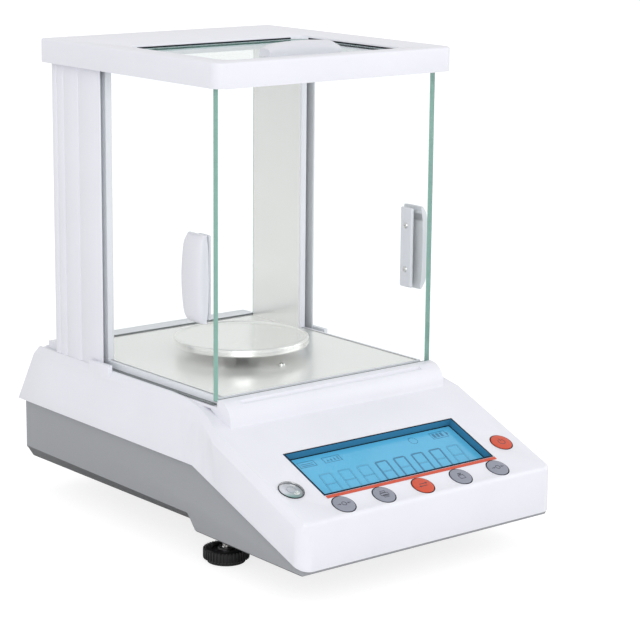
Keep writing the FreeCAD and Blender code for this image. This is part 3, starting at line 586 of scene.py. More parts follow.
def fit_box(piece, low, high):
    """Scale a piece's mesh so that it fills a box exactly."""
    points = [v.co for v in piece.data.vertices]
    lowest = Vector(min(p[i] for p in points) for i in range(3))
    highest = Vector(max(p[i] for p in points) for i in range(3))
    for point in points:
        for i in range(3):
            span = highest[i] - lowest[i]
            point[i] = low[i] + (point[i] - lowest[i]) / span * (high[i] - low[i])


def turned(name, profile, steps, centre=(0, 0, 0)):
    return shade(from_bmesh(name, lathe(profile, steps, centre)))


def d_bar(name, steps, around, section, low, high):
    """A long bar with a D section: section gives its points at -1 to 1 along the bar."""
    bm = bmesh.new()
    turns = [math.pi * i / (around - 1) for i in range(around)]
    loft_rings(bm, [section(-1 + 2 * step / steps, turns) for step in range(steps + 1)])
    piece = shade(from_bmesh(name, bm), 50)
    fit_box(piece, low, high)
    return piece


def strips(name, boxes, material, slot):
    """Thin strips with a small chamfer, as one piece on the fixed body."""
    bm = bmesh.new()
    for low, high in boxes:
        add_box(bm, low, high)
    bmesh.ops.bevel(bm, geom=bm.edges[:], offset=0.08 * MM, segments=1, affect="EDGES")
    finish(from_bmesh(name, bm), "root", material, slot=slot)


def face_back(bm):
    """Turn a bmesh that rises along Z so that it points to the back."""
    bmesh.ops.rotate(bm, verts=bm.verts, matrix=Matrix.Rotation(-math.pi / 2, 3, "X"))
    return bm


def middle_and_radius(low, high):
    """The middle of a turned part's box, and the part's radius."""
    return (low + high) / 2, (high.x - low.x) / 2


# ---------------------------------------------------------------- the control panel's own axes

press = next(j for j in frame["joints"] if j["name"] == "key_unit_press")
PANEL_OUT = -Vector(press["axis"]).normalized()
PANEL_UP = PANEL_OUT.cross(Vector((1, 0, 0))).normalized()
strip_points = [v.co for v in frame["nodes"]["accent_strip"].data.vertices]
PANEL_LEVEL = min(PANEL_OUT.dot(point) for point in strip_points)
PANEL_FOOT = min(PANEL_UP.dot(point) for point in strip_points)
PANEL = Matrix(((1, PANEL_UP.x, PANEL_OUT.x, 0), (0, PANEL_UP.y, PANEL_OUT.y, 0),
                (0, PANEL_UP.z, PANEL_OUT.z, 0), (0, 0, 0, 1)))
PANEL = Matrix.Translation(PANEL_OUT * PANEL_LEVEL + PANEL_UP * PANEL_FOOT) @ PANEL


def panel_box(cad):
    """A node's box in panel axes: X, up the slope from the strip's foot, and out."""
    back = PANEL.inverted()
    points = [back @ v.co for v in frame["nodes"][cad].data.vertices]
    return [Vector(pick(p[i] for p in points) for i in range(3)) for pick in (min, max)]


def to_panel(piece):
    piece.data.transform(PANEL)
    piece.data.update()
    return piece


# ---------------------------------------------------------------- geometry nodes

def geometry_tree(name, inputs):
    geometry = ("Geometry", "Geometry")
    return new_group(name, "GeometryNodeTree", [geometry, *inputs, ("Material", "Material")],
                     [geometry])


def close_tree(tree, given, out, instances):
    """End a tree in Realize Instances and Set Material."""
    real = node(tree, "GeometryNodeRealizeInstances", in_0=instances)
    tint = node(tree, "GeometryNodeSetMaterial", in_Geometry=real.outputs[0],
                in_Material=given["Material"])
    feed(tree, out, Geometry=tint.outputs[0])
    return tree


def ring_tree():
    """Copies of the object's own mesh, each turned outwards, on a ring."""
    tree, given, out = geometry_tree("repeat_on_ring", [
        ("Count", "Int", 12), ("Radius", "Float", 0.01), ("Centre", "Vector")])
    ring = node(tree, "GeometryNodeMeshCircle", in_Vertices=given["Count"],
                in_Radius=given["Radius"])
    spot = node(tree, "GeometryNodeInputPosition").outputs[0]
    turn = node(tree, "FunctionNodeAlignRotationToVector", axis="X", in_Vector=spot)
    copies = node(tree, "GeometryNodeInstanceOnPoints", in_Points=ring.outputs[0],
                  in_Instance=given["Geometry"], in_Rotation=turn.outputs[0])
    real = node(tree, "GeometryNodeRealizeInstances", in_0=copies.outputs[0])
    settle = node(tree, "GeometryNodeTransform", in_Geometry=real.outputs[0],
                  in_Translation=given["Centre"])
    return close_tree(tree, given, out, settle.outputs[0])


def row_tree():
    """Copies of the object's own mesh along a straight row."""
    tree, given, out = geometry_tree("repeat_in_row", [
        ("Count", "Int", 4), ("Step", "Vector", (0.01, 0, 0)), ("Start", "Vector")])
    row = node(tree, "GeometryNodeMeshLine", in_Count=given["Count"],
               in_Start_Location=given["Start"], in_Offset=given["Step"])
    copies = node(tree, "GeometryNodeInstanceOnPoints", in_Points=row.outputs[0],
                  in_Instance=given["Geometry"])
    return close_tree(tree, given, out, copies.outputs[0])


def thread_tree():
    """A screw thread: a small triangle swept along a helix."""
    tree, given, out = geometry_tree("screw_thread", [
        ("Radius", "Float", 0.003), ("Pitch", "Float", 0.001), ("Height", "Float", 0.02),
        ("Depth", "Float", 0.0005), ("Foot", "Vector")])
    turns = math_node(tree, "DIVIDE", given["Height"], given["Pitch"])
    helix = node(tree, "GeometryNodeCurveSpiral", in_Resolution=20, in_Rotations=turns,
                 in_Start_Radius=given["Radius"], in_End_Radius=given["Radius"],
                 in_Height=given["Height"])
    tooth = node(tree, "GeometryNodeCurvePrimitiveCircle", in_Resolution=3,
                 in_Radius=given["Depth"])
    sweep = node(tree, "GeometryNodeCurveToMesh", in_Fill_Caps=True, in_Curve=helix.outputs[0],
                 in_Profile_Curve=tooth.outputs[0])
    settle = node(tree, "GeometryNodeTransform", in_Geometry=sweep.outputs[0],
                  in_Translation=given["Foot"])
    both = node(tree, "GeometryNodeJoinGeometry", in_0=settle.outputs[0])
    tree.links.new(given["Geometry"], both.inputs[0])
    return close_tree(tree, given, out, both.outputs[0])


trees = {}


def grow(piece, kind, material, **values):
    """Run one of the trees on a piece with named inputs, and keep the mesh."""
    if kind not in trees:
        trees[kind] = {"ring": ring_tree, "row": row_tree, "thread": thread_tree}[kind]()
    tree = trees[kind]
    sockets = {item.name: item.identifier for item in tree.interface.items_tree
               if item.in_out == "INPUT"}
    modifier = piece.modifiers.new(kind, "NODES")
    modifier.node_group = tree
    modifier[sockets["Material"]] = paint[material]
    for name, value in values.items():
        modifier[sockets[name]] = value
    return bake(piece)


def join(name, pieces):
    """One object from several, at the origin."""
    bm = bmesh.new()
    materials = []
    for piece in pieces:
        offset = {}
        for index, material in enumerate(piece.data.materials):
            if material not in materials:
                materials.append(material)
            offset[index] = materials.index(material)
        start = len(bm.faces)
        bm.from_mesh(piece.data)
        bm.faces.ensure_lookup_table()
        for face in bm.faces[start:]:
            face.material_index = offset.get(face.material_index, 0)
        bpy.data.objects.remove(piece)
    mesh = bpy.data.meshes.new(name)
    bm.to_mesh(mesh)
    bm.free()
    for material in materials:
        mesh.materials.append(material)
    return mesh_object(name, mesh)


# ---------------------------------------------------------------- pieces

class PieceOperator:
    """What every piece's operator shares: build is given the detail settings."""

    bl_options = {"REGISTER", "UNDO"}

    def execute(self, context):
        self.build(context.scene.balance_detail)
        return {"FINISHED"}


class BALANCE_OT_housing(PieceOperator, bpy.types.Operator):
    """Upper casing and lower tray, moulded shells with rounded edges"""

    bl_idname = "balance.housing"
    bl_label = "Housing"

    def build(self, detail):
        shell = soften("upper_casing", "casing_shell", detail.edge_round)
        finish(shell, "root", "casing", "upper_casing", "casing_white")
        tray = soften("lower_tray", "tray_shell", detail.edge_round)
        self.deepen(tray, detail)
        finish(tray, "root", "tray", "lower_tray", "tray_grey")

    def deepen(self, piece, detail):
        """Lower the flat underside behind the step, which widens the chamfer round it."""
        for vert in piece.data.vertices:
            if abs(vert.co.z - detail.underside) < 0.6 * MM and vert.co.y > detail.step:
                vert.co.z -= detail.deepening


class BALANCE_OT_cap(PieceOperator, bpy.types.Operator):
    """Cap frame of the draft shield and the two rear pillars"""

    bl_idname = "balance.cap"
    bl_label = "Cap and pillars"

    def build(self, detail):
        finish(soften("cap_frame", "cap_shell", detail.edge_round), "root", "casing",
               "cap_frame", "casing_white")
        for side in SIDES:
            for part in ("pillar", "pillar_cover"):
                piece = soften(f"{side}_{part}", f"{side}_{part}_shell", detail.edge_round)
                finish(piece, "root", "casing", f"{side}_{part}", "casing_white")
            repaint(f"{side}_pillar_lining", "lining_steel")
        self.seal(detail)

    def seal(self, detail):
        """Painted shade: dark strips on the rear and right walls of the cap's opening, where the gap
        round the lid lies in shadow.
        """
        low, high = detail.opening_low, detail.opening_high
        lid_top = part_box("lid_glass")[1].z
        foot, thick, tall, corner = lid_top + 0.35 * MM, 0.4 * MM, 1.1 * MM, 9.5 * MM
        rear = ((low[0] + corner, high[1] - thick, foot), (high[0] - corner, high[1], foot + tall))
        right = ((high[0] - thick, low[1] + corner, foot), (high[0], high[1] - corner, foot + tall))
        # Black strips as painted shade for the gap between cap and lid.
        strips("opening_seal", (rear, right), "bezel", "bezel_black")


class BALANCE_OT_glass(PieceOperator, bpy.types.Operator):
    """The five panes, each with polished green edges"""

    bl_idname = "balance.glass"
    bl_label = "Glass panes"

    def build(self, detail):
        panes = {"front_glass": "root", "rear_glass": "root", "lid_glass": "lid",
                 "left_door_glass": "left_door", "right_door_glass": "right_door"}
        for cad, body in panes.items():
            low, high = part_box(cad)
            thin = min(range(3), key=lambda i: high[i] - low[i])
            bm = bmesh.new()
            add_box(bm, low, high)
            bmesh.ops.bevel(bm, geom=bm.edges[:], offset=detail.glass_arris, segments=1,
                            affect="EDGES", clamp_overlap=True)
            bm.normal_update()
            for face in bm.faces:
                face.material_index = self.face_kind(cad, face.normal, thin)
            piece = from_bmesh(f"{cad}_pane", bm)
            finish(piece, body, ["pane", "pane_edge", "pane_seat"], cad, "shield_glass")

    def face_kind(self, cad, normal, thin):
        """Clear on the wide faces and a door's front end, and painted dark grey where a pane is seated,
        as the shade in its channel.
        """
        if abs(normal[thin]) > 0.9 or ("door" in cad and normal.y < -0.5):
            return 0
        return 2 if thin != 2 and abs(normal.z) > 0.5 else 1


class BALANCE_OT_door_handles(PieceOperator, bpy.types.Operator):
    """Curved grips outside the doors, clamping plates and screws inside"""

    bl_idname = "balance.door_handles"
    bl_label = "Door handles"

    def build(self, detail):
        for side, sign in SIDES.items():
            self.grip(side, sign)
            plate = soften(f"{side}_door_plate", f"{side}_door_clamp", 0.5 * MM)
            finish(plate, f"{side}_door", "handle", f"{side}_door_plate", "casing_white")
            self.screws(side, sign)

    def grip(self, side, sign):
        """A bar with a D section that swells towards its middle."""
        low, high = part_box(f"{side}_door_grip")
        foot = low.x if sign > 0 else high.x
        depth, width, tall = high.x - low.x, high.y - low.y, high.z - low.z
        middle = (low.y + high.y) / 2

        def section(t, turns):
            end = math.sqrt(max(0.0, 1 - abs(t) ** 14))
            swell = depth * (0.66 + 0.34 * math.cos(t * math.pi / 2.2)) * max(end, 0.5)
            half = width / 2 * (0.9 + 0.1 * math.cos(t * math.pi / 2)) * max(end, 0.9)
            return [(foot + sign * swell * math.sin(a) ** 0.38, middle - half * math.cos(a),
                     (low.z + high.z) / 2 + t * tall / 2) for a in turns]

        finish(d_bar(f"{side}_door_handle", 24, 28, section, low, high), f"{side}_door", "handle",
               f"{side}_door_grip", "casing_white")

    def screws(self, side, sign):
        """Domed cross-head screws, one above the other."""
        low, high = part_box(f"{side}_door_screws")
        radius = (high.y - low.y) / 2
        depth = high.x - low.x
        bm = screw_head(radius, depth)
        bmesh.ops.rotate(bm, verts=bm.verts, matrix=Matrix.Rotation(sign * -math.pi / 2, 3, "Y"))
        piece = from_bmesh(f"{side}_door_screw_heads", bm)
        seat = high.x if sign > 0 else low.x
        pitch = high.z - low.z - 2 * radius
        grow(piece, "row", "bright_steel", Count=2, Step=(0, 0, pitch),
             Start=(seat, (low.y + high.y) / 2, low.z + radius))
        finish(shade(piece), f"{side}_door", None, f"{side}_door_screws", "bright_steel")


def screw_head(radius, depth):
    """A domed head with a cross recess, rising from z=0."""
    bm = lathe([(0, 0), (radius, 0), (radius, depth * 0.35), (radius * 0.86, depth * 0.75),
                (radius * 0.5, depth * 0.97), (0, depth)], 24)
    for turn in (0, 1):
        arm, thin = radius * 0.62, radius * 0.13
        reach = (arm, thin) if turn == 0 else (thin, arm)
        cutter = bmesh.ops.create_cube(bm, size=1.0)["verts"]
        for vert in cutter:
            vert.co = Vector((vert.co.x * 2 * reach[0], vert.co.y * 2 * reach[1],
                              depth * (0.83 + 0.36 * vert.co.z)))
    return bm


class BALANCE_OT_lid_handle(PieceOperator, bpy.types.Operator):
    """The bar on the sliding lid, arched along its length"""

    bl_idname = "balance.lid_handle"
    bl_label = "Lid handle"

    def build(self, detail):
        low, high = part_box("lid_grip")
        long, wide, tall = high - low
        centre = (low + high) / 2

        def section(t, turns):
            end = math.sqrt(max(0.0, 1 - abs(t) ** 14))
            rise = tall * (0.80 + 0.20 * math.cos(t * math.pi / 2.2)) * max(end, 0.7)
            half = wide / 2 * max(end, 0.85)
            return [(centre.x + t * long / 2, centre.y + half * math.cos(a),
                     low.z + rise * math.sin(a) ** 0.5) for a in turns]

        finish(d_bar("lid_handle", 28, 24, section, low, high), "lid", "handle", "lid_grip",
               "casing_white")


class BALANCE_OT_chamber(PieceOperator, bpy.types.Operator):
    """Polished floor with its hole and screw, the pan and its stem"""

    bl_idname = "balance.chamber"
    bl_label = "Chamber and pan"

    def build(self, detail):
        repaint("chamber_floor", "floor_steel")
        self.trim()
        self.pan(detail)
        repaint("pan_stem", "stem_steel")
        repaint("load_receptor", "aluminium")
        low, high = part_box("floor_screw")
        centre, radius = middle_and_radius(low, high)
        bm = screw_head(radius, high.z - low.z)
        bmesh.ops.translate(bm, verts=bm.verts, vec=(centre.x, centre.y, low.z))
        finish(shade(from_bmesh("floor_screw_head", bm, 0)), "root", "bright_steel", "floor_screw",
               "bright_steel")

    def trim(self):
        """Thin metal strips that cover the cut edges of the floor sheet."""
        low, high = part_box("chamber_floor")
        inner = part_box("right_pillar_lining")[0].x - 0.2 * MM
        wide, proud, seat = 0.9 * MM, 0.3 * MM, high.z + 0.02 * MM
        pillar_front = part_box("right_pillar")[0].y - 0.3 * MM
        boxes = [((x, low.y, seat), (x + wide, pillar_front, seat + proud))
                 for x in (low.x - 0.2 * MM, high.x + 0.2 * MM - wide)]
        boxes.append(((-inner, high.y - wide, seat), (inner, high.y, seat + proud)))
        strips("floor_trim", boxes, "rail", "bright_steel")

    def pan(self, detail):
        low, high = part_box("weighing_pan")
        middle, radius = middle_and_radius(low, high)
        centre = (*middle.xy, 0)
        lip = 1.4 * MM
        profile = [(0, low.z + 1.2 * MM), (radius - 9 * MM, low.z + 1.2 * MM)]
        profile += [(radius - 7 * MM, low.z + 0.4 * MM), (radius - 5.5 * MM, low.z)]
        profile += arc((radius - lip, low.z + lip), lip, -90, 0, 6)
        profile += arc((radius - lip, high.z - lip), lip, 0, 130, 8)
        profile += [(radius - 4.2 * MM, high.z - 1.25 * MM), (radius - 6 * MM, high.z - 1.3 * MM),
                    (0, high.z - 1.3 * MM)]
        finish(turned("pan_dish", profile, detail.lathe_steps, centre), "pan", "pan_steel",
               "weighing_pan", "pan_steel")


SEGMENTS = {"top": (0, 1, 0), "middle": (0, 0, 0), "bottom": (0, -1, 0), "upper_left": (-1, 0.5, 1),
            "upper_right": (1, 0.5, 1), "lower_left": (-1, -0.5, 1), "lower_right": (1, -0.5, 1)}
ZERO = set(SEGMENTS) - {"middle"}


def plates(name, shapes, low, high):
    """Thin plates over flat outlines, as one piece made in panel axes."""
    bm = bmesh.new()
    for points in shapes:
        loft_rings(bm, [[(x, y, level) for x, y in points] for level in (low, high)])
    return to_panel(from_bmesh(name, bm, 0))


def bar(x0, y0, x1, y1):
    return [(x0, y0), (x1, y0), (x1, y1), (x0, y1)]


def frame_bars(x0, y0, x1, y1, thick):
    """The four sides of an open rectangle."""
    return [bar(x0, y0, x1, y0 + thick), bar(x0, y1 - thick, x1, y1),
            bar(x0, y0 + thick, x0 + thick, y1 - thick), bar(x1 - thick, y0 + thick, x1, y1 - thick)]


def ring_shape(radius, thick, start=0, end=360, steps=28, centre=(0, 0), cover=1):
    """A ring or part of one as four-sided tiles, each covering some of its step."""
    for i in range(steps):
        a0, a1 = (math.radians(start + (end - start) * k / steps) for k in (i, i + cover))
        yield [(centre[0] + r * math.cos(a), centre[1] + r * math.sin(a)) for r, a in
               ((radius, a0), (radius, a1), (radius - thick, a1), (radius - thick, a0))]


PRINT = 0.06 * MM       # how far a segment stands on the screen


class BALANCE_OT_display(PieceOperator, bpy.types.Operator):
    """Screen with its segments and symbols, the dark frame and the red strip"""

    bl_idname = "balance.display"
    bl_label = "Display"

    def build(self, detail):
        for cad, name, material, slot in (
                ("accent_strip", "red_strip", "red_key", "strip_red"),
                ("lcd_screen", "screen_glass", "screen", "lcd_blue")):
            finish(soften(cad, name, 0.12 * MM, 1), "root", material, cad, slot)
        self.rim()
        repaint("lcd_module", "black")
        self.low, self.high = panel_box("lcd_screen")
        self.level = self.high.z
        outline = frame_bars(*self.mouth[0].xy, *self.mouth[1].xy, 1.0 * MM)
        self.draw_on("screen_outline", outline, "bezel")
        self.digits()
        self.symbols()

    def rim(self):
        """Black rim flush with the panel, blue walls down to the screen."""
        low, high = panel_box("display_bezel")
        inset = Vector((1.2 * MM, 1.2 * MM, 0))
        self.mouth = (low + inset, high - inset)
        piece = soften("display_bezel", "display_frame", 0.12 * MM, 1)
        for face in piece.data.polygons:
            middle = PANEL.inverted() @ face.center
            face.material_index = 1 if middle.z < high.z - 0.45 * MM else 0
        finish(piece, "root", ["bezel", "bezel_wall"], "display_bezel", "bezel_black")

    def draw_on(self, name, shapes, material):
        finish(plates(name, shapes, self.level, self.level + PRINT), "root", material,
               slot="lcd_blue")

    def digits(self):
        """A row of seven-segment figures; the last five read nought."""
        wide, tall, thick = 11.0 * MM, 22.0 * MM, 1.4 * MM
        pitch = 16.2 * MM
        start = self.low.x + 19 * MM
        foot = self.low.y + 3.6 * MM
        lit, faint = [], []
        for index in range(8):
            centre = (start + index * pitch, foot + tall / 2)
            for name, (across, up, upright) in SEGMENTS.items():
                half = (thick / 2, tall / 4 - thick * 0.35) if upright else (wide / 2 - thick * 0.7,
                                                                         thick / 2)
                x = centre[0] + across * (wide - thick) / 2 + (up * 1.6 * MM)
                y = centre[1] + up * (tall - thick) / 2
                lean = 1.6 * MM * half[1] / (tall / 2)
                shape = [(x - half[0] - lean, y - half[1]), (x + half[0] - lean, y - half[1]),
                         (x + half[0] + lean, y + half[1]), (x - half[0] + lean, y + half[1])]
                (lit if index >= 3 and name in ZERO and index < 7 else faint).append(shape)
            dot = centre[0] + wide / 2 + 1.6 * MM
            shape = bar(dot, foot, dot + thick, foot + thick)
            (lit if index == 3 else faint).append(shape)
        self.draw_on("lit_segments", lit, "ink")
        self.draw_on("unlit_segments", faint, "faint_ink")

    def symbols(self):
        """A battery, a level frame, a stability ring and a small scale bar."""
        top = self.high.y - 12 * MM
        left, right = self.low.x + 8 * MM, self.high.x - 8 * MM
        thin = 0.45 * MM
        shapes = frame_bars(left, top, left + 14 * MM, top + 6 * MM, thin)
        shapes += [bar(left + 2 * MM, top + (1.4 + 1.7 * i) * MM, left + 12 * MM,
                       top + (2.0 + 1.7 * i) * MM) for i in range(2)]
        shapes += frame_bars(left + 21 * MM, top, left + 36 * MM, top + 6 * MM, thin)
        shapes += [bar(left + (24 + 3 * i) * MM, top + 1.4 * MM, left + (25 + 3 * i) * MM,
                       top + (3.0 + 0.5 * i) * MM) for i in range(4)]
        shapes += frame_bars(right - 16 * MM, top, right - 2 * MM, top + 7 * MM, thin)
        shapes += [bar(right - 2 * MM, top + 2.3 * MM, right - 0.9 * MM, top + 4.7 * MM)]
        shapes += [bar(right - (14.4 - 3.4 * i) * MM, top + 1.4 * MM, right - (12.2 - 3.4 * i) * MM,
                       top + 5.6 * MM) for i in range(3)]
        shapes += ring_shape(3.6 * MM, 0.5 * MM, steps=16, cover=0.7,
                             centre=(right - 33 * MM, top + 3.4 * MM))
        self.draw_on("screen_symbols", shapes, "ink")


FLANGE = 0.7 * MM       # how far a key's flange stands out under the panel


class BALANCE_OT_keys(PieceOperator, bpy.types.Operator):
    """Six round keys with generic signs, each with a black ring of painted shade for its gap"""

    bl_idname = "balance.keys"
    bl_label = "Keys"

    def build(self, detail):
        signs = {"key_tare_left": zero_sign, "key_print": print_sign, "key_unit": swap_sign,
                 "key_cal": weight_sign, "key_tare_right": zero_sign, "key_power": power_sign}
        red = {"key_unit", "key_power"}
        sunk, proud = 0.12 * MM, 0.03 * MM
        for name, sign in signs.items():
            low, high = panel_box(name)
            middle, flange = middle_and_radius(low, high)
            centre, radius = middle.xy, flange - FLANGE
            self.cap(name, centre, (low.z, high.z), (radius, flange), name in red)
            self.surround(name, centre, radius)
            moved = [[(centre[0] + x * MM, centre[1] + y * MM) for x, y in points]
                     for points in sign()]
            mark = plates(f"{name}_sign", moved, high.z - sunk, high.z + proud)
            finish(mark, name, "legend", slot="knob_black")

    def surround(self, name, centre, radius):
        """A dark ring that lines a key's hole and edges it on the panel: painted shade for the gap round
        the key.
        """
        near, hole, lip = radius + 0.16 * MM, radius + 0.33 * MM, radius + 0.75 * MM
        proud = 0.07 * MM
        profile = [(near, -2.4 * MM), (hole, -2.4 * MM), (hole, 0.01 * MM), (lip, 0.01 * MM),
                   (lip - 0.05 * MM, proud), (near, proud), (near, -2.4 * MM)]
        piece = to_panel(turned(f"{name}_surround", profile, 64, (*centre, 0)))
        # Painted shade: the black ring stands for the shadow in the key's gap.
        finish(piece, "root", "bezel", slot="bezel_black")

    def cap(self, name, centre, heights, radii, is_red):
        """A key's cap, its rounded top slightly dished, over the flange that holds it in."""
        (foot, top), (radius, flange) = heights, radii
        seat = foot + 1.2 * MM
        profile = [(0, foot), (flange, foot), (flange, seat), (radius, seat), (radius, top - 0.75 * MM)]
        profile += arc((radius - 0.6 * MM, top - 0.75 * MM), 0.6 * MM, 0, 78, 5)
        profile += [(radius * 0.55, top), (0, top - 0.08 * MM)]
        piece = to_panel(turned(f"{name}_cap", profile, 64, (*centre, 0)))
        material, slot = ("red_key", "key_red") if is_red else ("grey_key", "key_grey")
        finish(piece, name, material, name, slot)


def arrow_head(side, tip, back, y, half):
    """A triangle on the left or right, with its tip and its back at given distances."""
    points = [(side * tip, y), (side * back, y + half), (side * back, y - half)]
    return points if side > 0 else points[::-1]


def zero_sign():
    """Two arrows that point at a nought."""
    shapes = list(ring_shape(1.9, 0.45))
    for side in (-1, 1):
        left, right = sorted((side * 5.4, side * 3.6))
        shapes += [bar(left, -0.22, right, 0.22), arrow_head(side, 2.5, 3.7, 0, 0.9)]
    return shapes


def print_sign():
    """A sheet that leaves a slot."""
    return (frame_bars(-3.4, -1.6, 3.4, 1.2, 0.4) + frame_bars(-2.1, 1.2, 2.1, 3.2, 0.4)
            + frame_bars(-2.1, -3.4, 2.1, -0.6, 0.4) + [bar(-1.3, -2.3, 1.3, -1.9)])


def swap_sign():
    """Two arrows that pass each other."""
    shapes = []
    for side in (-1, 1):
        y = side * 1.2
        shapes += [bar(-2.8, y - 0.22, 2.8, y + 0.22), arrow_head(side, 4.3, 2.8, y, 1.0)]
    return shapes


def weight_sign():
    """A small test weight with its knob."""
    return (frame_bars(-2.4, -3.0, 2.4, 0.9, 0.42) + [bar(-0.5, 0.9, 0.5, 1.7)]
            + frame_bars(-1.5, 1.7, 1.5, 2.9, 0.42))


def power_sign():
    """A broken ring with an upright stroke."""
    return list(ring_shape(2.9, 0.5, 120, 420)) + [bar(-0.25, 0.6, 0.25, 3.6)]


class BALANCE_OT_level(PieceOperator, bpy.types.Operator):
    """Round bubble level: cup, liquid, target ring and bubble"""

    bl_idname = "balance.level"
    bl_label = "Bubble level"

    def build(self, detail):
        low, high = panel_box("level_cup")
        middle, radius = middle_and_radius(low, high)
        centre = (*middle.xy, 0)
        wall = 0.4 * MM
        inner = radius - wall
        rim = [(0, low.z), (radius - 0.7 * MM, low.z), (radius - 0.7 * MM, high.z - 0.62 * MM),
               (radius, high.z - 0.6 * MM), (radius - 0.1 * MM, high.z - 0.15 * MM),
               (radius - 0.25 * MM, high.z), (inner, high.z), (inner - 0.1 * MM, high.z - 0.3 * MM),
               (inner - 0.9 * MM, low.z + 1 * MM), (0, low.z + 1 * MM)]
        cup = from_bmesh("level_ring", lathe(rim, 72, centre))
        for face in cup.data.polygons:
            reach = (face.center - Vector(centre)).xy.length
            face.material_index = 1 if reach < inner - 0.01 * MM else 0
        finish(shade(to_panel(cup)), "root", ["bezel", "bright_steel"], "level_cup", "bezel_black")
        vial_low, vial_high = panel_box("level_vial")
        edge = inner - 0.15 * MM
        foot = vial_low.z + 0.1 * MM
        dome = [(0, foot), (edge - 1.2 * MM, foot), (edge - 0.3 * MM, vial_high.z - 2.2 * MM),
                (edge, vial_high.z - 1.6 * MM)]
        dome += [(edge * math.cos(a), vial_high.z - (1.6 - 1.55 * math.sin(a)) * MM)
                 for a in (math.radians(10 * k) for k in range(1, 9))]
        dome += [(0, vial_high.z - 0.03 * MM)]
        vial = shade(to_panel(from_bmesh("level_liquid", lathe(dome, 72, centre))), 60)
        finish(vial, "root", "vial", "level_vial", "vial_glass")
        self.target(centre, vial_high.z, edge)

    def target(self, centre, top, edge):
        ring = ring_shape(edge * 0.4, 0.16 * MM, steps=48, centre=centre)
        finish(plates("level_target", ring, top - 0.3 * MM, top + 0.02 * MM), "root", "faint_line",
               slot="knob_black")
        spot = (centre[0] + edge * 0.2, centre[1] - edge * 0.38, top - 0.3 * MM)
        profile = [(0, 0), (edge * 0.3, 0), (edge * 0.26, 0.12 * MM), (edge * 0.13, 0.18 * MM),
                   (0, 0.2 * MM)]
        bubble = shade(to_panel(from_bmesh("level_bubble", lathe(profile, 40, spot))), 70)
        finish(bubble, "root", "bubble", slot="vial_glass")


class BALANCE_OT_feet(PieceOperator, bpy.types.Operator):
    """Knurled levelling knobs on threaded studs, and the rubber feet"""

    bl_idname = "balance.feet"
    bl_label = "Feet"

    def build(self, detail):
        for side in SIDES:
            self.knob(side, detail)
            self.stud(side, detail)
            repaint(f"{side}_foot_pad", "rubber")
        repaint("rear_foot", "rubber")

    def knob(self, side, detail):
        low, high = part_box(f"{side}_foot_knob")
        centre, radius = middle_and_radius(low, high)
        tall = high.z - low.z
        inner = radius - detail.knurl_depth
        rib = lathe([(0, 0.4 * MM), (0.45 * MM, 0.5 * MM), (0.62 * MM, 1.2 * MM),
                     (0.62 * MM, tall - 1.2 * MM), (0.45 * MM, tall - 0.5 * MM), (0, tall - 0.4 * MM)], 8)
        ribs = from_bmesh(f"{side}_knurls", rib)
        grow(ribs, "ring", "knob", Count=detail.knurl_count, Radius=radius - 0.62 * MM,
             Centre=(centre.x, centre.y, low.z))
        stud = 3.1 * MM
        top, dish = high.z, high.z - 1.2 * MM
        profile = [(stud, low.z), (inner - 0.8 * MM, low.z), (inner, low.z + 0.8 * MM),
                   (inner, top - 1.4 * MM), (inner - 1.0 * MM, top - 0.3 * MM),
                   (inner - 2.0 * MM, top), (inner - 5 * MM, top), (inner - 5.6 * MM, dish),
                   (stud + 3 * MM, dish), (stud + 2.4 * MM, top), (stud, top), (stud, low.z)]
        disc = from_bmesh(f"{side}_knob_disc", lathe(profile, detail.lathe_steps,
                                                     (centre.x, centre.y, 0)))
        disc.data.materials.append(paint["knob"])
        piece = shade(join(f"{side}_knurled_knob", [disc, ribs]))
        finish(piece, f"{side}_foot_screw", "knob", f"{side}_foot_knob", "knob_black")

    def stud(self, side, detail):
        low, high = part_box(f"{side}_foot_stud")
        centre, radius = middle_and_radius(low, high)
        depth = 0.42 * MM
        core = radius - 1.3 * depth
        bm = lathe([(0, low.z), (core, low.z), (core, high.z - 1 * MM), (core - 1 * MM, high.z),
                    (0, high.z)], 32, (centre.x, centre.y, 0))
        piece = from_bmesh(f"{side}_threaded_stud", bm)
        foot = low.z + 1.5 * MM
        grow(piece, "thread", "bright_steel", Radius=core, Pitch=detail.thread_pitch,
             Height=high.z - foot - 2.5 * MM, Depth=depth * 1.25, Foot=(centre.x, centre.y, foot))
        finish(shade(piece), f"{side}_foot_screw", None, f"{side}_foot_stud", "bright_steel")


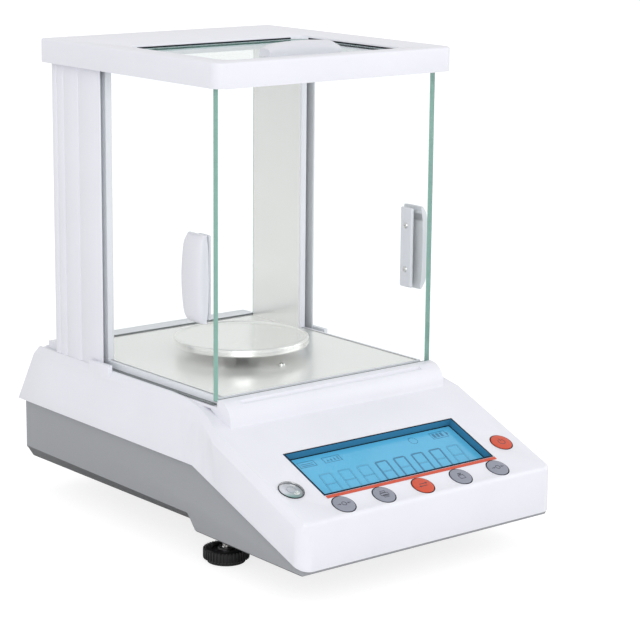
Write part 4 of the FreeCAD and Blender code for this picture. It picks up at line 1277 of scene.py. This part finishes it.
class BALANCE_OT_rear_sockets(PieceOperator, bpy.types.Operator):
    """Power inlet and serial socket on the back, with their pins"""

    bl_idname = "balance.rear_sockets"
    bl_label = "Rear sockets"

    def build(self, detail):
        finish(soften("dc_socket", "power_inlet", 0.2 * MM), "root", "black", "dc_socket",
               "socket_black")
        finish(soften("serial_port", "serial_shell", 0.3 * MM), "root", "bright_steel",
               "serial_port", "bright_steel")
        low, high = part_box("dc_socket")
        middle = (low + high) / 2
        bm = face_back(lathe([(0, 0), (1.0 * MM, 0), (1.0 * MM, 10 * MM), (0.6 * MM, 10.8 * MM),
                              (0, 11 * MM)], 20))
        bmesh.ops.translate(bm, verts=bm.verts, vec=(middle.x, high.y - 13 * MM, middle.z))
        finish(shade(from_bmesh("power_pin", bm)), "root", "bright_steel", slot="bright_steel")
        self.pins()

    def pins(self):
        low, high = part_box("serial_port")
        middle = (low + high) / 2
        pitch = 2.77 * MM
        rows = []
        for count, lift in ((5, 1.3 * MM), (4, -1.3 * MM)):
            bm = lathe([(0, 0), (0.85 * MM, 0), (0.85 * MM, 0.4 * MM), (0, 0.4 * MM)], 12)
            row = from_bmesh(f"contact_row_{count}", face_back(bm))
            start = (middle.x - pitch * (count - 1) / 2, high.y - 0.41 * MM, middle.z + lift)
            grow(row, "row", "black", Count=count, Step=(pitch, 0, 0), Start=start)
            rows.append(row)
        finish(join("serial_contacts", rows), "root", "black", slot="socket_black")


class BALANCE_OT_inside(PieceOperator, bpy.types.Operator):
    """Load cell, boards and fixings inside the housing"""

    bl_idname = "balance.inside"
    bl_label = "Inside"

    def build(self, detail):
        for cad, material in (("load_cell", "aluminium"), ("cell_mount", "aluminium"),
                              ("cell_base", "cast"), ("stop_screw", "bright_steel"),
                              ("main_board", "board"), ("board_posts", "aluminium"),
                              ("display_board", "board"), ("key_switches", "black"),
                              ("casing_screws", "bright_steel")):
            repaint(cad, material)


# ---------------------------------------------------------------- stage

class BALANCE_OT_stage(bpy.types.Operator):
    """Pale floor, soft studio light and the camera"""

    bl_idname = "balance.stage"
    bl_label = "Stage"
    bl_options = {"REGISTER", "UNDO"}

    def execute(self, context):
        stage = context.scene.balance_stage
        self.floor()
        self.surroundings(context.scene, stage.world)
        self.lamp("key_lamp", (-1.2, -1.6, 0.85), (0, 0, 0.15), 1.2, stage.key_power)
        self.lamp("fill_lamp", (1.6, -0.9, 0.65), (0, 0, 0.15), 1.4, stage.fill_power)
        self.lamp("top_lamp", (0.1, 0.5, 2.0), (0, 0, 0.2), 1.6, stage.fill_power / 6)
        self.camera(context.scene, stage)
        context.scene.view_settings.view_transform = "Standard"
        return {"FINISHED"}

    def floor(self):
        bm = bmesh.new()
        bmesh.ops.create_grid(bm, x_segments=1, y_segments=1, size=30)
        floor = from_bmesh("studio_floor", bm)
        for vert in floor.data.vertices:
            vert.co.z = -0.0002
        made = bpy.data.materials.new("studio_floor")
        made.use_nodes = True
        tree = made.node_tree
        seen = node(tree, "ShaderNodeLightPath").outputs["Is Camera Ray"]
        feed(tree, tree.nodes["Principled BSDF"], Roughness=0.85, Specular_IOR_Level=0.1,
             Emission_Color=(1, 1, 1, 1), Base_Color=map_range(tree, seen, 0.0, 1.0, 0.88, 0.35),
             Emission_Strength=map_range(tree, seen, 0.0, 1.0, 0.0, 0.8))
        floor.data.materials.append(made)

    def surroundings(self, scene, strength):
        world = bpy.data.worlds.new("studio")
        world.use_nodes = True
        feed(world.node_tree, world.node_tree.nodes["Background"], Color=(1, 1, 1, 1),
             Strength=strength)
        scene.world = world

    def lamp(self, name, place, target, size, power):
        light = bpy.data.lights.new(name, "AREA")
        light.size = size
        light.energy = power
        item = bpy.data.objects.new(name, light)
        item.location = place
        aim = Vector(target) - Vector(place)
        item.rotation_euler = aim.to_track_quat("-Z", "Y").to_euler()
        bpy.context.scene.collection.objects.link(item)

    def camera(self, scene, stage):
        az, el, roll = stage.azimuth, stage.elevation, stage.roll
        back = Vector((math.sin(az) * math.cos(el), -math.cos(az) * math.cos(el), math.sin(el)))
        right = Vector((math.cos(az), math.sin(az), 0))
        up = back.cross(right)
        turned = math.cos(roll) * right + math.sin(roll) * up
        lifted = -math.sin(roll) * right + math.cos(roll) * up
        data = bpy.data.cameras.new("camera")
        data.lens = stage.lens
        data.clip_end = 100
        item = bpy.data.objects.new("camera", data)
        place = Matrix((turned, lifted, back)).transposed().to_4x4()
        place.translation = Vector(stage.target) + back * stage.distance
        item.matrix_world = place
        scene.collection.objects.link(item)
        scene.camera = item


# ---------------------------------------------------------------- panel and registration

OPERATORS = (BALANCE_OT_housing, BALANCE_OT_cap, BALANCE_OT_glass, BALANCE_OT_door_handles,
             BALANCE_OT_lid_handle, BALANCE_OT_chamber, BALANCE_OT_display, BALANCE_OT_keys,
             BALANCE_OT_level, BALANCE_OT_feet, BALANCE_OT_rear_sockets, BALANCE_OT_inside,
             BALANCE_OT_stage)
GROUPS = {"balance_finish": BalanceFinish, "balance_detail": BalanceDetail,
          "balance_stage": BalanceStage}


class BALANCE_PT_pieces(bpy.types.Panel):
    """Lists the pieces of the balance"""

    bl_label = "Analytical balance"
    bl_idname = "BALANCE_PT_pieces"
    bl_space_type = "VIEW_3D"
    bl_region_type = "UI"
    bl_category = "Balance"

    def draw(self, context):
        for operator in OPERATORS:
            self.layout.operator(operator.bl_idname)
        for name in GROUPS:
            settings = getattr(context.scene, name)
            box = self.layout.box()
            for prop in settings.__annotations__:
                box.prop(settings, prop)


def register():
    for item in (*GROUPS.values(), *OPERATORS, BALANCE_PT_pieces):
        bpy.utils.register_class(item)
    for name, group in GROUPS.items():
        setattr(bpy.types.Scene, name, PointerProperty(type=group))


def unregister():
    for name in GROUPS:
        delattr(bpy.types.Scene, name)
    for item in reversed((*GROUPS.values(), *OPERATORS, BALANCE_PT_pieces)):
        bpy.utils.unregister_class(item)


def main():
    global paint
    register()
    paint = Paint(bpy.context.scene.balance_finish)
    for operator in OPERATORS:
        group, name = operator.bl_idname.split(".")
        if getattr(getattr(bpy.ops, group), name)() != {"FINISHED"}:
            raise RuntimeError(f"{operator.bl_idname} did not finish")


if __name__ == "__main__":
    main()
